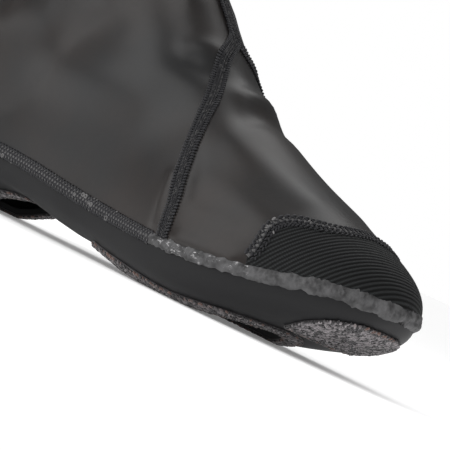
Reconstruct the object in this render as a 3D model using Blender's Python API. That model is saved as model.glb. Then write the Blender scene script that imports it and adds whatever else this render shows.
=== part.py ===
"""A cycling overshoe for the right foot, in the form that it has when it is worn.

The toe points along +X, the inner side of the foot along +Y and the leg along +Z.
One last, a foot body blended into a leg, gives the outer surface of every panel, band and patch.
"""

import math

import bmesh
import bpy
import numpy as np
from mathutils import Vector
from mathutils.bvhtree import BVHTree

# Driving sizes, in metres
LENGTH = 0.292
BALL_WIDTH = 0.104
INSTEP_HEIGHT = 0.102
COLLAR_HEIGHT = 0.206
ANKLE_BLEND = 0.034
WALL = 0.0022
SOLE_WALL = 0.0026
GAP = 0.0003
LAYER_GAP = 0.0004
HEM_HEIGHT = 0.012
HEM_STEP = 0.0008
STITCH_WIDTH = 0.0062
STITCH_THICK = 0.0009
TAPE_WIDTH = 0.0058
TAPE_THICK = 0.0009
SEAL_WIDTH = 0.0080
SEAL_THICK = 0.0014
CAP_THICK = 0.0009
KNIT_THICK = 0.0012
CLEAT_LENGTH = 0.110
CLEAT_WIDTH = 0.076
HEEL_LENGTH = 0.078
HEEL_WIDTH = 0.052
KNIT_RIM = 0.0095
TOE_PATCH_LENGTH = 0.040
TOE_PATCH_WIDTH = 0.062

TOE_PATCH_MIDDLE = 0.004

# The sole panel stays this far above the floor, which the knit under it reaches
SOLE_FLOOR = LAYER_GAP + KNIT_THICK

# Where foot and leg begin to blend and over how far, as shares of LENGTH, and the blend at the heel
BLEND_START, BLEND_RUN, HEEL_BLEND = 0.22, 0.22, 0.01

# Two places inside the leg from which its surface is found, as shares of LENGTH
LEG_MIDDLE, LEG_AXIS = 0.22, 0.20

# The middle line of a level stops this share of BALL_WIDTH short of its ends, and keeps a least share
END_ROUND, LEAST_STRAIGHT = 0.76, 0.1

# Thickness of the bands from edge to edge, as shares of their full thickness
STITCH_PROFILE = (0.5, 0.9, 1.0, 0.9, 0.5)
SEAL_PROFILE = (0.35, 0.9, 1.0, 0.9, 0.35)
TAPE_PROFILE = (0.7, 1.0, 0.7)

# The side tapes are found from this height, meet the front one here, which ends below the hem
TAPE_FROM = 0.4 * INSTEP_HEIGHT
TAPE_MEETS = 0.45 * TAPE_WIDTH
TAPE_ENDS = 4 * GAP

# The hem's step keeps clear of the level below it and rises over a short run, as shares of the height
HEM_CLEAR, HEM_RISE = 0.02, 0.001

# The cutters of the sole's openings reach from below the floor to above the sole panel
CUTTER_BELOW = 0.1 * INSTEP_HEIGHT
CUTTER_TALL = 0.4 * INSTEP_HEIGHT

# How far the toe patch's front edge is rounded, and how far it rises with the toe
PATCH_ROUND, PATCH_RISE = 0.22, 0.82

# Distance over which the slope of the last's surface is measured
SLOPE_STEP = 2e-4

# Exponents of the rounded sections: over the foot, under it, and round the leg
OVER, UNDER, ROUND = 2.15, 4.0, 2.2

# Sections of the foot from heel to toe. Widths are shares of BALL_WIDTH, heights of INSTEP_HEIGHT.
FOOT_COLUMNS = ("along", "half_width", "shift", "low", "arch", "widest", "top")
FOOT = (
    (0.00, 0.000, 0.000, 0.190, 0.000, 0.240, 0.300),
    (0.03, 0.230, 0.000, 0.040, 0.000, 0.240, 0.620),
    (0.08, 0.308, 0.000, 0.000, 0.000, 0.235, 0.720),
    (0.15, 0.336, 0.000, 0.000, 0.000, 0.235, 0.800),
    (0.21, 0.340, -0.002, 0.050, 0.012, 0.250, 0.860),
    (0.28, 0.338, -0.008, 0.105, 0.045, 0.290, 0.960),
    (0.37, 0.339, -0.014, 0.115, 0.070, 0.300, 1.040),
    (0.46, 0.357, -0.020, 0.070, 0.055, 0.280, 1.070),
    (0.56, 0.405, -0.024, 0.012, 0.015, 0.245, 0.965),
    (0.64, 0.450, -0.022, 0.000, 0.000, 0.220, 0.862),
    (0.72, 0.475, -0.012, 0.000, 0.000, 0.210, 0.765),
    (0.80, 0.462, 0.006, 0.045, 0.000, 0.235, 0.685),
    (0.87, 0.408, 0.026, 0.100, 0.000, 0.275, 0.616),
    (0.93, 0.322, 0.038, 0.168, 0.000, 0.320, 0.552),
    (0.97, 0.218, 0.046, 0.232, 0.000, 0.342, 0.490),
    (1.00, 0.000, 0.052, 0.346, 0.000, 0.352, 0.358),
)
# Sections of the leg from the heel up: height as a share of COLLAR_HEIGHT, back and front of LENGTH.
LEG_COLUMNS = ("height", "back", "front", "half_width")
LEG = (
    (0.08, 0.004, 0.400, 0.325),
    (0.24, 0.003, 0.425, 0.335),
    (0.36, 0.011, 0.440, 0.340),
    (0.50, 0.028, 0.428, 0.342),
    (0.62, 0.040, 0.396, 0.340),
    (0.74, 0.042, 0.362, 0.336),
    (0.87, 0.036, 0.342, 0.340),
    (1.00, 0.026, 0.340, 0.350),
)
# The seam between the upper and the sole panel, all round
SEAM_COLUMNS = ("along", "height")
SEAM = (
    (0.00, 0.290),
    (0.15, 0.268),
    (0.30, 0.258),
    (0.45, 0.226),
    (0.60, 0.205),
    (0.72, 0.208),
    (0.80, 0.234),
    (0.88, 0.282),
    (0.94, 0.328),
    (1.00, 0.352),
)
# Where the stitched seam ends at each side, and the sealed one round the toe starts
SEAL_START = 0.645

# The taped seam from the sole up to the instep: along LENGTH, and degrees up from the level
TAPE_COLUMNS = ("along", "rise")
TAPE = (
    (0.667, -12.0),
    (0.646, 4.0),
    (0.621, 24.0),
    (0.602, 40.0),
    (0.586, 51.0),
    (0.568, 62.0),
    (0.536, 74.0),
    (0.500, 82.5),
    (0.464, 87.8),
)

# The upper edge of the toe cap: degrees round the toe, and the level above the seam
CAP_COLUMNS = ("round", "level")
CAP = (
    (0.0, 0.166),
    (20.0, 0.155),
    (40.0, 0.148),
    (58.0, 0.145),
    (72.0, 0.131),
    (84.0, 0.107),
    (96.0, 0.066),
    (106.0, 0.020),
)

# The knit round the two openings in the sole: along its length, and its half widths as shares
OPENING_COLUMNS = ("along", "lateral", "medial")
CLEAT_OPENING = (
    (0.00, 0.00, 0.00),
    (0.03, 0.66, 0.62),
    (0.10, 0.77, 0.84),
    (0.25, 0.87, 0.98),
    (0.50, 0.94, 1.00),
    (0.72, 0.91, 0.86),
    (0.88, 0.68, 0.60),
    (0.96, 0.40, 0.34),
    (1.00, 0.00, 0.00),
)
HEEL_OPENING = (
    (0.00, 0.00, 0.00),
    (0.06, 0.60, 0.60),
    (0.20, 0.90, 0.90),
    (0.40, 1.00, 1.00),
    (0.70, 1.00, 1.00),
    (0.92, 0.80, 0.80),
    (0.98, 0.52, 0.52),
    (1.00, 0.00, 0.00),
)

# Where the openings lie: their rear ends as shares of LENGTH, and their middles of BALL_WIDTH
CLEAT_START, CLEAT_MIDDLE = 0.480, -0.070
HEEL_START, HEEL_MIDDLE = 0.050, 0.000

# The toe patch starts here, with these half widths from its rear edge to its front
TOE_PATCH_START = 0.872
TOE_PATCH_COLUMNS = ("along", "half_width")
TOE_PATCH = (
    (0.00, 0.84),
    (0.35, 1.00),
    (0.65, 0.92),
    (0.85, 0.72),
    (1.00, 0.46),
)

# How finely the surfaces are cut into faces
TOE_STEPS, HEEL_STEPS, SIDE_STEPS = 14, 8, 16
LEVELS = (0.0, 0.022, 0.048, 0.076, 0.105, 0.135, 0.168, 0.204, 0.243, 0.288, 0.334, 0.382,
          0.430, 0.478, 0.526, 0.574, 0.624, 0.680, 0.742, 0.810, 0.880)
SOLE_ANGLES = (0.0, 10.0, 21.0, 32.0, 42.0, 52.0, 64.0, 77.0, 90.0)
OUTLINE_STEPS = 22
STRIP_STEPS = 28
CAP_STEPS, CAP_ROWS = 26, 7
PATCH_ROWS, PATCH_COLUMNS = 9, 13


def spline(xs, ys):
    """Return a smooth curve through the points, with no bend at its ends."""
    xs, ys = np.asarray(xs, float), np.asarray(ys, float)
    count = len(xs)
    gaps = np.diff(xs)
    slopes = np.diff(ys) / gaps
    matrix = np.eye(count)
    sides = np.zeros(count)
    for i in range(1, count - 1):
        matrix[i, i - 1:i + 2] = gaps[i - 1], 2 * (gaps[i - 1] + gaps[i]), gaps[i]
        sides[i] = 6 * (slopes[i] - slopes[i - 1])
    bends = np.linalg.solve(matrix, sides)

    def curve(x):
        x = np.clip(x, xs[0], xs[-1])
        i = np.clip(np.searchsorted(xs, x) - 1, 0, count - 2)
        t = x - xs[i]
        start = slopes[i] - gaps[i] * (2 * bends[i] + bends[i + 1]) / 6
        return ys[i] + t * start + t**2 * bends[i] / 2 + t**3 * (bends[i + 1] - bends[i]) / (6 * gaps[i])

    return curve


def turned(share):
    """Turn a share of a length into a share of a half circle, so that both ends come out round."""
    return np.arccos(1 - 2 * np.clip(share, 0, 1)) / math.pi


def curves(table, round_ends):
    """Return a curve for each column of a table after its first."""
    rows = np.array(table)
    at = turned(rows[:, 0]) if round_ends else rows[:, 0]
    return [spline(at, rows[:, i]) for i in range(1, rows.shape[1])]


HALF_WIDTH, SHIFT, LOW, ARCH, WIDEST, TOP = curves(FOOT, round_ends=True)
LEG_BACK, LEG_FRONT, LEG_HALF_WIDTH = curves(LEG, round_ends=False)
(SEAM_RISE,) = curves(SEAM, round_ends=False)


def foot_gap(x, y, z):
    """Return how far a point lies outside the foot body, roughly, and negative inside."""
    u = turned(x / LENGTH)
    half = np.maximum(HALF_WIDTH(u) * BALL_WIDTH, 1e-5)
    across = (y - SHIFT(u) * BALL_WIDTH) / half
    lifted = ARCH(u) * np.clip(0.5 + 0.5 * across, 0, 1)
    low = (LOW(u) + lifted) * INSTEP_HEIGHT
    widest = WIDEST(u) * INSTEP_HEIGHT
    top = TOP(u) * INSTEP_HEIGHT
    above = z > widest
    rise = np.where(above, (z - widest) / (top - widest), (widest - z) / (widest - low))
    power = np.where(above, OVER, UNDER)
    round_gap = (np.abs(across)**power + np.abs(rise)**power)**(1 / power) * half - half
    past_end = np.maximum(x - LENGTH, -x)
    return np.where(past_end > 0, np.maximum(round_gap, past_end), round_gap)


def leg_gap(x, y, z):
    """Return how far a point lies outside the leg, roughly, and negative inside."""
    height = z / COLLAR_HEIGHT
    back, front = LEG_BACK(height) * LENGTH, LEG_FRONT(height) * LENGTH
    half = LEG_HALF_WIDTH(height) * BALL_WIDTH
    along = (2 * x - front - back) / (front - back)
    round_gap = (np.abs(along)**ROUND + np.abs(y / half)**ROUND)**(1 / ROUND) * half - half
    return np.maximum(round_gap, LEG[0][0] * COLLAR_HEIGHT - z)


def last_gap(x, y, z):
    """Return the gap to the whole last: foot and leg blend ahead of the heel, and the floor cuts both."""
    foot, leg = foot_gap(x, y, z), leg_gap(x, y, z)
    ahead = np.clip((x / LENGTH - BLEND_START) / BLEND_RUN, 0, 1)
    blend = ANKLE_BLEND * (HEEL_BLEND + (1 - HEEL_BLEND) * ahead**2 * (3 - 2 * ahead))
    shared = np.maximum(blend - np.abs(foot - leg), 0) / blend
    return np.maximum(np.minimum(foot, leg) - shared**2 * blend / 4, SOLE_FLOOR - z)


def gradients(points):
    """Return the slope of the gap at each point."""
    step = SLOPE_STEP
    parts = []
    for axis in np.eye(3) * step:
        ahead, behind = points + axis, points - axis
        change = last_gap(*np.moveaxis(ahead, -1, 0)) - last_gap(*np.moveaxis(behind, -1, 0))
        parts.append(change / (2 * step))
    return np.stack(parts, axis=-1)


def normals(points):
    """Return the outward direction of the last's surface at each point."""
    slopes = gradients(points)
    return slopes / np.linalg.norm(slopes, axis=-1, keepdims=True)


def settle(points):
    """Move points that lie near the last's surface onto it."""
    for _ in range(12):
        slopes = gradients(points)
        miss = last_gap(*np.moveaxis(points, -1, 0))
        points = points - (miss / (slopes**2).sum(axis=-1))[..., None] * slopes
    return points


def reach(place, shape, far=0.34, steps=160):
    """Return where rays from inside leave the last. place(distance) gives a point on each ray."""
    near, beyond = np.zeros(shape), np.full(shape, far)
    found = np.zeros(shape, bool)
    distances = np.linspace(0, far, steps)
    for before, after in zip(distances[:-1], distances[1:]):
        outside = (last_gap(*place(np.full(shape, after))) > 0) & ~found
        near, beyond = np.where(outside, before, near), np.where(outside, after, beyond)
        found |= outside
    for _ in range(36):
        middle = (near + beyond) / 2
        outside = last_gap(*place(middle)) > 0
        near, beyond = np.where(outside, near, middle), np.where(outside, middle, beyond)
    return np.stack(place(near), axis=-1)


def seam_height(x):
    """Return the height of the seam above the floor."""
    return SEAM_RISE(x / LENGTH) * INSTEP_HEIGHT


def level_height(x, level, lift):
    """Return the height of a level: 0 is the seam raised by lift, and 1 the collar."""
    base = seam_height(x) + lift
    return base + level * (COLLAR_HEIGHT - base)


def along_level(x, y, dx, dy, level, lift):
    """Return where horizontal rays that keep to a level leave the last."""
    x, y, dx, dy, level = np.broadcast_arrays(x, y, dx, dy, level)

    def place(distance):
        ahead = x + dx * distance
        return ahead, y + dy * distance, level_height(ahead, level, lift)

    return reach(place, x.shape)


def spine(level, station, lift):
    """Return the x of a point on the middle line of a level, at a station from -1 at the heel to 1."""
    inside = LEG_MIDDLE * LENGTH
    front = along_level(inside, 0.0, 1.0, 0.0, level, lift)[..., 0]
    back = along_level(inside, 0.0, -1.0, 0.0, level, lift)[..., 0]
    straight = np.maximum(front - back - END_ROUND * BALL_WIDTH, LEAST_STRAIGHT * (front - back))
    return (front + back + station * straight) / 2


def columns(toe_steps=TOE_STEPS, heel_steps=HEEL_STEPS, side_steps=SIDE_STEPS):
    """Return the stations and directions round the last, from the toe along the medial side and back."""
    quarter = math.pi / 2
    toe = [(1.0, a) for a in np.linspace(-quarter, quarter, toe_steps + 1)]
    medial = [(s, quarter) for s in np.linspace(1, -1, side_steps + 1)[1:-1]]
    heel = [(-1.0, a) for a in np.linspace(quarter, 3 * quarter, heel_steps + 1)]
    lateral = [(s, -quarter) for s in np.linspace(-1, 1, side_steps + 1)[1:-1]]
    return np.array(toe + medial + heel + lateral).T


def ring(level, station, direction, lift=0.0):
    """Return the last's surface points at a level, at the given stations and directions."""
    level, station, direction = np.broadcast_arrays(level, station, direction)
    return along_level(spine(level, station, lift), 0.0, np.cos(direction), np.sin(direction), level, lift)


def thick(name, rows, outer, inner, round_columns=False, welded_end=False):
    """Return a closed mesh between two offsets of a grid of surface points.

    With round_columns the last column meets the first. With welded_end the points of the last row
    coincide in pairs, and are welded there in place of a rim.
    """
    out = rows + normals(rows) * np.broadcast_to(outer, rows.shape[:2])[..., None]
    into = rows + normals(rows) * np.broadcast_to(inner, rows.shape[:2])[..., None]
    height, width = rows.shape[:2]
    work = bmesh.new()
    sides = [[[work.verts.new(p) for p in row] for row in side] for side in (out, into)]
    spans = range(width if round_columns else width - 1)
    for i in range(height - 1):
        for j in spans:
            k = (j + 1) % width
            for side in sides:
                work.faces.new([side[i][j], side[i][k], side[i + 1][k], side[i + 1][j]])
    for i in (0,) if welded_end else (0, height - 1):
        for j in spans:
            k = (j + 1) % width
            work.faces.new([sides[0][i][j], sides[0][i][k], sides[1][i][k], sides[1][i][j]])
    for j in () if round_columns else (0, width - 1):
        for i in range(height - 1):
            work.faces.new([sides[0][i][j], sides[0][i + 1][j], sides[1][i + 1][j], sides[1][i][j]])
    if welded_end:
        bmesh.ops.remove_doubles(work, verts=work.verts, dist=1e-6)
    bmesh.ops.recalc_face_normals(work, faces=work.faces)
    mesh = bpy.data.meshes.new(name)
    work.to_mesh(mesh)
    work.free()
    return mesh


def skin(pieces):
    """Return the flat faces of the pieces together, before any opening is cut, for others to rest on."""
    corners, faces = [], []
    for piece in pieces:
        start = len(corners)
        corners += [vertex.co.copy() for vertex in piece.data.vertices]
        piece.data.calc_loop_triangles()
        faces += [[start + i for i in face.vertices] for face in piece.data.loop_triangles]
    return BVHTree.FromPolygons(corners, faces)


def resting(rows, base):
    """Return the points moved out onto the flat faces, where those stand proud of the true surface."""
    outward = normals(rows)
    moved = rows.copy()
    for place in np.ndindex(rows.shape[:2]):
        point, away = Vector(rows[place]), Vector(outward[place])
        upward = Vector((0, 0, 1)) - away.z * away
        beside = [side * 2 * GAP * upward for side in (-1, 0, 1)]
        hits = [base.ray_cast(point + step + away * WALL, -away, WALL) for step in beside]
        proud = max((WALL - hit[3] for hit in hits if hit[0] is not None), default=0.0)
        moved[place] = point + proud * away
    return moved


def overlay(name, rows, base, outer, round_columns=False):
    """Return the closed mesh of a layer that lies on the panels, a gap away."""
    return thick(name, resting(rows, base), LAYER_GAP + np.asarray(outer), LAYER_GAP, round_columns)


def material(name, colour, roughness):
    """Return a plain material for one piece."""
    result = bpy.data.materials.new(name)
    result.use_nodes = True
    shader = result.node_tree.nodes["Principled BSDF"]
    shader.inputs["Base Color"].default_value = (*colour, 1.0)
    shader.inputs["Roughness"].default_value = roughness
    result.diffuse_color = (*colour, 1.0)
    return result


def add_piece(name, mesh, colour, roughness, group):
    """Put a mesh into the scene as a named piece."""
    mesh.shade_smooth()
    mesh.set_sharp_from_angle(angle=math.radians(40))
    mesh.materials.append(material(name, colour, roughness))
    piece = bpy.data.objects.new(name, mesh)
    group.objects.link(piece)
    return piece


def build_upper(group):
    """The hollow upper, open at the collar and along the seam, with a folded hem as a step in its wall."""
    stations, directions = columns()
    hem = 1 - HEM_HEIGHT / (COLLAR_HEIGHT - seam_height(LEG_AXIS * LENGTH))
    levels = [level for level in LEVELS if level < hem - HEM_CLEAR] + [hem, hem + HEM_RISE, 1.0]
    steps = [0.0] * (len(levels) - 2) + [HEM_STEP, HEM_STEP]
    rows = ring(np.array(levels)[:, None], stations, directions, lift=GAP / 2)
    mesh = thick("upper", rows, np.array(steps)[:, None], -WALL, round_columns=True)
    return add_piece("upper", mesh, (0.055, 0.052, 0.050), 0.42, group)


def sole_rows(angles, stations, directions, lift):
    """Return the sole's surface points on rays that turn down from the seam to straight below the spine."""
    rim = ring(0.0, stations, directions, lift)
    x = spine(np.zeros(len(stations)), stations, lift)
    origin = np.stack([x, 0 * x, seam_height(x) + lift], axis=-1)
    outward = (rim - origin) / np.linalg.norm(rim - origin, axis=-1, keepdims=True)
    turns = np.radians(angles)[:, None, None]
    rays = outward * np.cos(turns) - np.array([0.0, 0.0, 1.0]) * np.sin(turns)

    def place(distance):
        return np.moveaxis(origin + rays * distance[..., None], -1, 0)

    rows = reach(place, rays.shape[:2], far=0.12, steps=60)
    rows[0] = rim
    return rows


def opening_outline(table, start, middle, length, width, inset, steps=OUTLINE_STEPS):
    """Return the plan outline of an opening's knit, from its rear end round, narrowed by an inset."""
    lateral, medial = curves(table, round_ends=True)
    u = np.linspace(0, 1, steps + 1)
    along = start * LENGTH + inset + (length - 2 * inset) * (1 - np.cos(math.pi * u)) / 2
    half = width / 2 - inset
    near = np.stack([along, middle * BALL_WIDTH - half * lateral(u)], axis=-1)
    far = np.stack([along, middle * BALL_WIDTH + half * medial(u)], axis=-1)
    return np.concatenate([near, far[-2:0:-1]])


def under(plan):
    """Return the points of the sole's surface below the given places in plan."""
    x, y = np.moveaxis(plan, -1, 0)
    top = seam_height(x)

    def place(distance):
        return x, y, top - distance

    return reach(place, x.shape, far=0.08, steps=50)


def cut_opening(panel, name, outline, cutters):
    """Cut an opening of this outline through the sole panel."""
    work = bmesh.new()
    floor = [work.verts.new((x, y, -CUTTER_BELOW)) for x, y in outline]
    face = work.faces.new(floor)
    raised = bmesh.ops.extrude_face_region(work, geom=[face])["geom"]
    lifted = [item for item in raised if isinstance(item, bmesh.types.BMVert)]
    bmesh.ops.translate(work, verts=lifted, vec=(0, 0, CUTTER_TALL))
    bmesh.ops.recalc_face_normals(work, faces=work.faces)
    mesh = bpy.data.meshes.new(name)
    work.to_mesh(mesh)
    work.free()
    cutter = bpy.data.objects.new(name, mesh)
    cutter.hide_render = True
    cutter.display_type = "WIRE"
    cutters.objects.link(cutter)
    cut = panel.modifiers.new(name, "BOOLEAN")
    cut.operation = "DIFFERENCE"
    cut.solver = "EXACT"
    cut.object = cutter


OPENINGS = {
    "cleat_opening_knit": (CLEAT_OPENING, CLEAT_START, CLEAT_MIDDLE, CLEAT_LENGTH, CLEAT_WIDTH),
    "heel_opening_knit": (HEEL_OPENING, HEEL_START, HEEL_MIDDLE, HEEL_LENGTH, HEEL_WIDTH),
}


def build_sole(group, cutters):
    """The sole panel, a tray from the seam down and under, open for the cleat and for the heel."""
    stations, directions = columns()
    rows = sole_rows(SOLE_ANGLES, stations, directions, -GAP / 2)
    mesh = thick("sole_panel", rows, 0.0, -SOLE_WALL, round_columns=True, welded_end=True)
    panel = add_piece("sole_panel", mesh, (0.022, 0.022, 0.024), 0.5, group)
    for name, shape in OPENINGS.items():
        outline = opening_outline(*shape, inset=KNIT_RIM)
        cut_opening(panel, name.replace("knit", "cutter"), outline, cutters)
    return panel


def build_knit_ring(name, base, group):
    """The knit that lines the edge of an opening, flat on the floor where the sole panel is."""
    insets = (0.0, KNIT_RIM / 2, KNIT_RIM)
    plan = np.stack([opening_outline(*OPENINGS[name], inset=inset) for inset in insets])
    mesh = overlay(name, under(plan), base, KNIT_THICK, round_columns=True)
    return add_piece(name, mesh, (0.030, 0.027, 0.028), 0.95, group)


def build_toe_patch(base, group):
    """The knit patch under the toe, straight behind and round in front."""
    (half_width,) = curves(TOE_PATCH, round_ends=False)
    ahead, sideways = np.linspace(0, 1, PATCH_ROWS), np.linspace(-1, 1, PATCH_COLUMNS)
    forward, across = np.meshgrid(ahead, sideways, indexing="ij")
    x = TOE_PATCH_START * LENGTH
    height = float(seam_height(x))
    low = float(LOW(turned(TOE_PATCH_START))) * INSTEP_HEIGHT
    fan = TOE_PATCH_LENGTH * forward * (1 - PATCH_ROUND * across**2 * forward)
    side = TOE_PATCH_WIDTH / 2 * across * half_width(forward)
    rays = np.stack([fan, side, (low - height) * (1 - PATCH_RISE * forward)], axis=-1)
    rays /= np.linalg.norm(rays, axis=-1, keepdims=True)

    def place(distance):
        across = rays[..., 1] * distance + TOE_PATCH_MIDDLE
        return x + rays[..., 0] * distance, across, height + rays[..., 2] * distance

    mesh = overlay("toe_knit_patch", reach(place, fan.shape, far=0.09, steps=60), base, KNIT_THICK)
    return add_piece("toe_knit_patch", mesh, (0.030, 0.027, 0.028), 0.95, group)


def strip(name, path, width, profile, colour, roughness, base, group):
    """A band along a path on the last. profile gives its thickness at even steps across it."""
    ahead = np.gradient(path, axis=0)
    sideways = np.cross(normals(path), ahead)
    sideways /= np.linalg.norm(sideways, axis=-1, keepdims=True)
    shares = np.linspace(-0.5, 0.5, len(profile))
    rows = settle(path[None] + sideways[None] * (shares * width)[:, None, None])
    mesh = overlay(name, rows, base, np.array(profile)[:, None])
    return add_piece(name, mesh, colour, roughness, group)


def station_of(along):
    """Return the seam's station at a share of the length."""
    back, front = spine(np.zeros(2), np.array([-1.0, 1.0]), 0.0)
    return (2 * along * LENGTH - front - back) / (front - back)


def seam_columns(toe):
    """Return the seam's columns round the toe, or else round the heel, between the two seal ends."""
    stations, directions = columns()
    side = 1 if toe else -1
    ends = station_of(SEAL_START) + side * GAP / 2 / station_length()
    order = np.roll(np.arange(len(stations)), len(stations) // 2 if toe else 0)
    order = order[(side * (stations - ends) > 0)[order]]
    quarter = math.pi / 2
    stations = np.concatenate([[ends], stations[order], [ends]])
    directions = np.concatenate([[-side * quarter], directions[order], [side * quarter]])
    return stations, directions


def station_length():
    """Return the length in metres of one unit of station along the seam."""
    back, front = spine(np.zeros(2), np.array([-1.0, 1.0]), 0.0)
    return (front - back) / 2


def build_lower_seam(base, group):
    """The stitched seam round the heel, and the sealing strip over it round the toe."""
    stations, directions = seam_columns(toe=False)
    heights = tuple(share * STITCH_THICK for share in STITCH_PROFILE)
    strip("lower_seam_stitching", ring(0.0, stations, directions), STITCH_WIDTH, heights,
          (0.045, 0.044, 0.044), 0.9, base, group)
    stations, directions = seam_columns(toe=True)
    heights = tuple(share * SEAL_THICK for share in SEAL_PROFILE)
    strip("toe_seal", ring(0.0, stations, directions), SEAL_WIDTH, heights,
          (0.085, 0.085, 0.087), 0.75, base, group)


def build_tapes(base, group):
    """The taped seams: one up each side to the instep, and one up the front from there."""
    rows = np.array(TAPE)
    at = np.linspace(0, 1, len(rows))
    u = np.linspace(0, 1, STRIP_STEPS)
    along, rise = spline(at, rows[:, 0])(u), np.radians(spline(at, rows[:, 1])(u))
    x = along * LENGTH
    flat = tuple(share * TAPE_THICK for share in TAPE_PROFILE)
    for name, side in (("side_seam_tape_lateral", -1), ("side_seam_tape_medial", 1)):

        def place(distance):
            return x, side * np.cos(rise) * distance, TAPE_FROM + np.sin(rise) * distance

        path = reach(place, x.shape, far=0.12, steps=80)
        top = path[-1, 2]
        strip(name, path, TAPE_WIDTH, flat, (0.020, 0.019, 0.021), 0.9, base, group)
    z = np.linspace(top + TAPE_MEETS, COLLAR_HEIGHT - HEM_HEIGHT - TAPE_ENDS, STRIP_STEPS)

    def ahead(distance):
        return LEG_AXIS * LENGTH + distance, 0 * z, z

    strip("front_seam_tape", reach(ahead, z.shape), TAPE_WIDTH, flat,
          (0.020, 0.019, 0.021), 0.9, base, group)


def build_cap(base, group):
    """The ribbed toe cap, from the seal up to its arched edge."""
    (edge,) = curves(CAP, round_ends=False)
    turns = np.linspace(-CAP[-1][0], CAP[-1][0], CAP_STEPS + 1)
    top = edge(np.abs(turns))
    past = np.maximum(np.abs(turns) - 90, 0)
    direction = np.radians(np.clip(turns, -90, 90))
    lift = SEAL_WIDTH / 2 + 2 * GAP
    shares = np.linspace(0, 1, CAP_ROWS)[:, None]
    level = shares * top
    station = 1 - np.radians(past) * END_ROUND / 2 * BALL_WIDTH / station_length()
    rows = ring(level, station, direction, lift)
    mesh = overlay("toe_cap", rows, base, CAP_THICK)
    return add_piece("toe_cap", mesh, (0.012, 0.012, 0.013), 0.7, group)


def build():
    """Build the overshoe and set its frame at the middle of its footprint."""
    for item in list(bpy.data.objects):
        bpy.data.objects.remove(item, do_unlink=True)
    group = bpy.data.collections.new("cycling_overshoe")
    cutters = bpy.data.collections.new("cutters")
    for collection in (group, cutters):
        bpy.context.scene.collection.children.link(collection)
    base = skin([build_upper(group), build_sole(group, cutters)])
    for name in OPENINGS:
        build_knit_ring(name, base, group)
    build_toe_patch(base, group)
    build_lower_seam(base, group)
    build_tapes(base, group)
    build_cap(base, group)
    corners = np.array([vertex.co for piece in group.objects for vertex in piece.data.vertices])
    low, high = corners.min(axis=0), corners.max(axis=0)
    origin = Vector(((low[0] + high[0]) / 2, (low[1] + high[1]) / 2, low[2]))
    for piece in list(group.objects) + list(cutters.objects):
        piece.location = -origin
    bpy.context.view_layer.update()


build()
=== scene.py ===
"""The looks of a cycling overshoe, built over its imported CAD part.

The toe points along +X, the inner side of the foot along +Y and the leg along +Z, in metres.
The last, which gives every panel and seam its place, is measured from the heel, so finished
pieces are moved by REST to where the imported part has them.
"""

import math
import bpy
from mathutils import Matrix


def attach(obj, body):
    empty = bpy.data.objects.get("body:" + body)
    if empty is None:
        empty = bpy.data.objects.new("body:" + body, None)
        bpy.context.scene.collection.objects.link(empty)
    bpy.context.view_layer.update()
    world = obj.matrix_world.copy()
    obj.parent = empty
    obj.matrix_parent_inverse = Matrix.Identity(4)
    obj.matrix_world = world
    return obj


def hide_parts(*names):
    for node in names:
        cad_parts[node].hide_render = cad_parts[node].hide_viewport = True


bl_info = {
    "name": "Cycling overshoe",
    "version": (1, 0, 0),
    "blender": (4, 5, 0),
    "location": "View3D > Sidebar > Overshoe",
    "description": "Builds the panels, seams, knit and finishes of a cycling overshoe",
    "category": "Object",
}

import bpy
import numpy as np
from bpy.props import FloatProperty, FloatVectorProperty, PointerProperty
from mathutils import Matrix, Vector

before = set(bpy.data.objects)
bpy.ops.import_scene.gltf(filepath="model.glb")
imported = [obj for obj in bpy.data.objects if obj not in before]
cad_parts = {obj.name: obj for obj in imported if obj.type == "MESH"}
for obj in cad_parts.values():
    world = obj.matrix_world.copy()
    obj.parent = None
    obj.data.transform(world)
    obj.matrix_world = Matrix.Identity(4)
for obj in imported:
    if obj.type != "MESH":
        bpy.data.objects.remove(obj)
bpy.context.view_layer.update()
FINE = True

# The last's driving sizes, as the part has them
LENGTH = 0.292
BALL_WIDTH = 0.104
INSTEP_HEIGHT = 0.102
COLLAR_HEIGHT = 0.206
ANKLE_BLEND = 0.034
BLEND_START, BLEND_RUN, HEEL_BLEND = 0.22, 0.22, 0.01
LEG_MIDDLE, LEG_AXIS = 0.22, 0.20
END_ROUND, LEAST_STRAIGHT = 0.76, 0.1
SOLE_FLOOR = 0.0016
KNIT_RIM = 0.0095
HALF_GAP = 0.00015
HEM_STEP = 0.0007
LEG_SEAM_HEIGHT = 0.027
REST = np.array((-0.146131, 0.000818, 0.0))

# Exponents of the rounded sections: over the foot, under it, and round the leg
OVER, UNDER, ROUND = 2.15, 4.0, 2.2

# Distance over which the slope of the last's surface is measured
SLOPE_STEP = 2e-4

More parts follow.
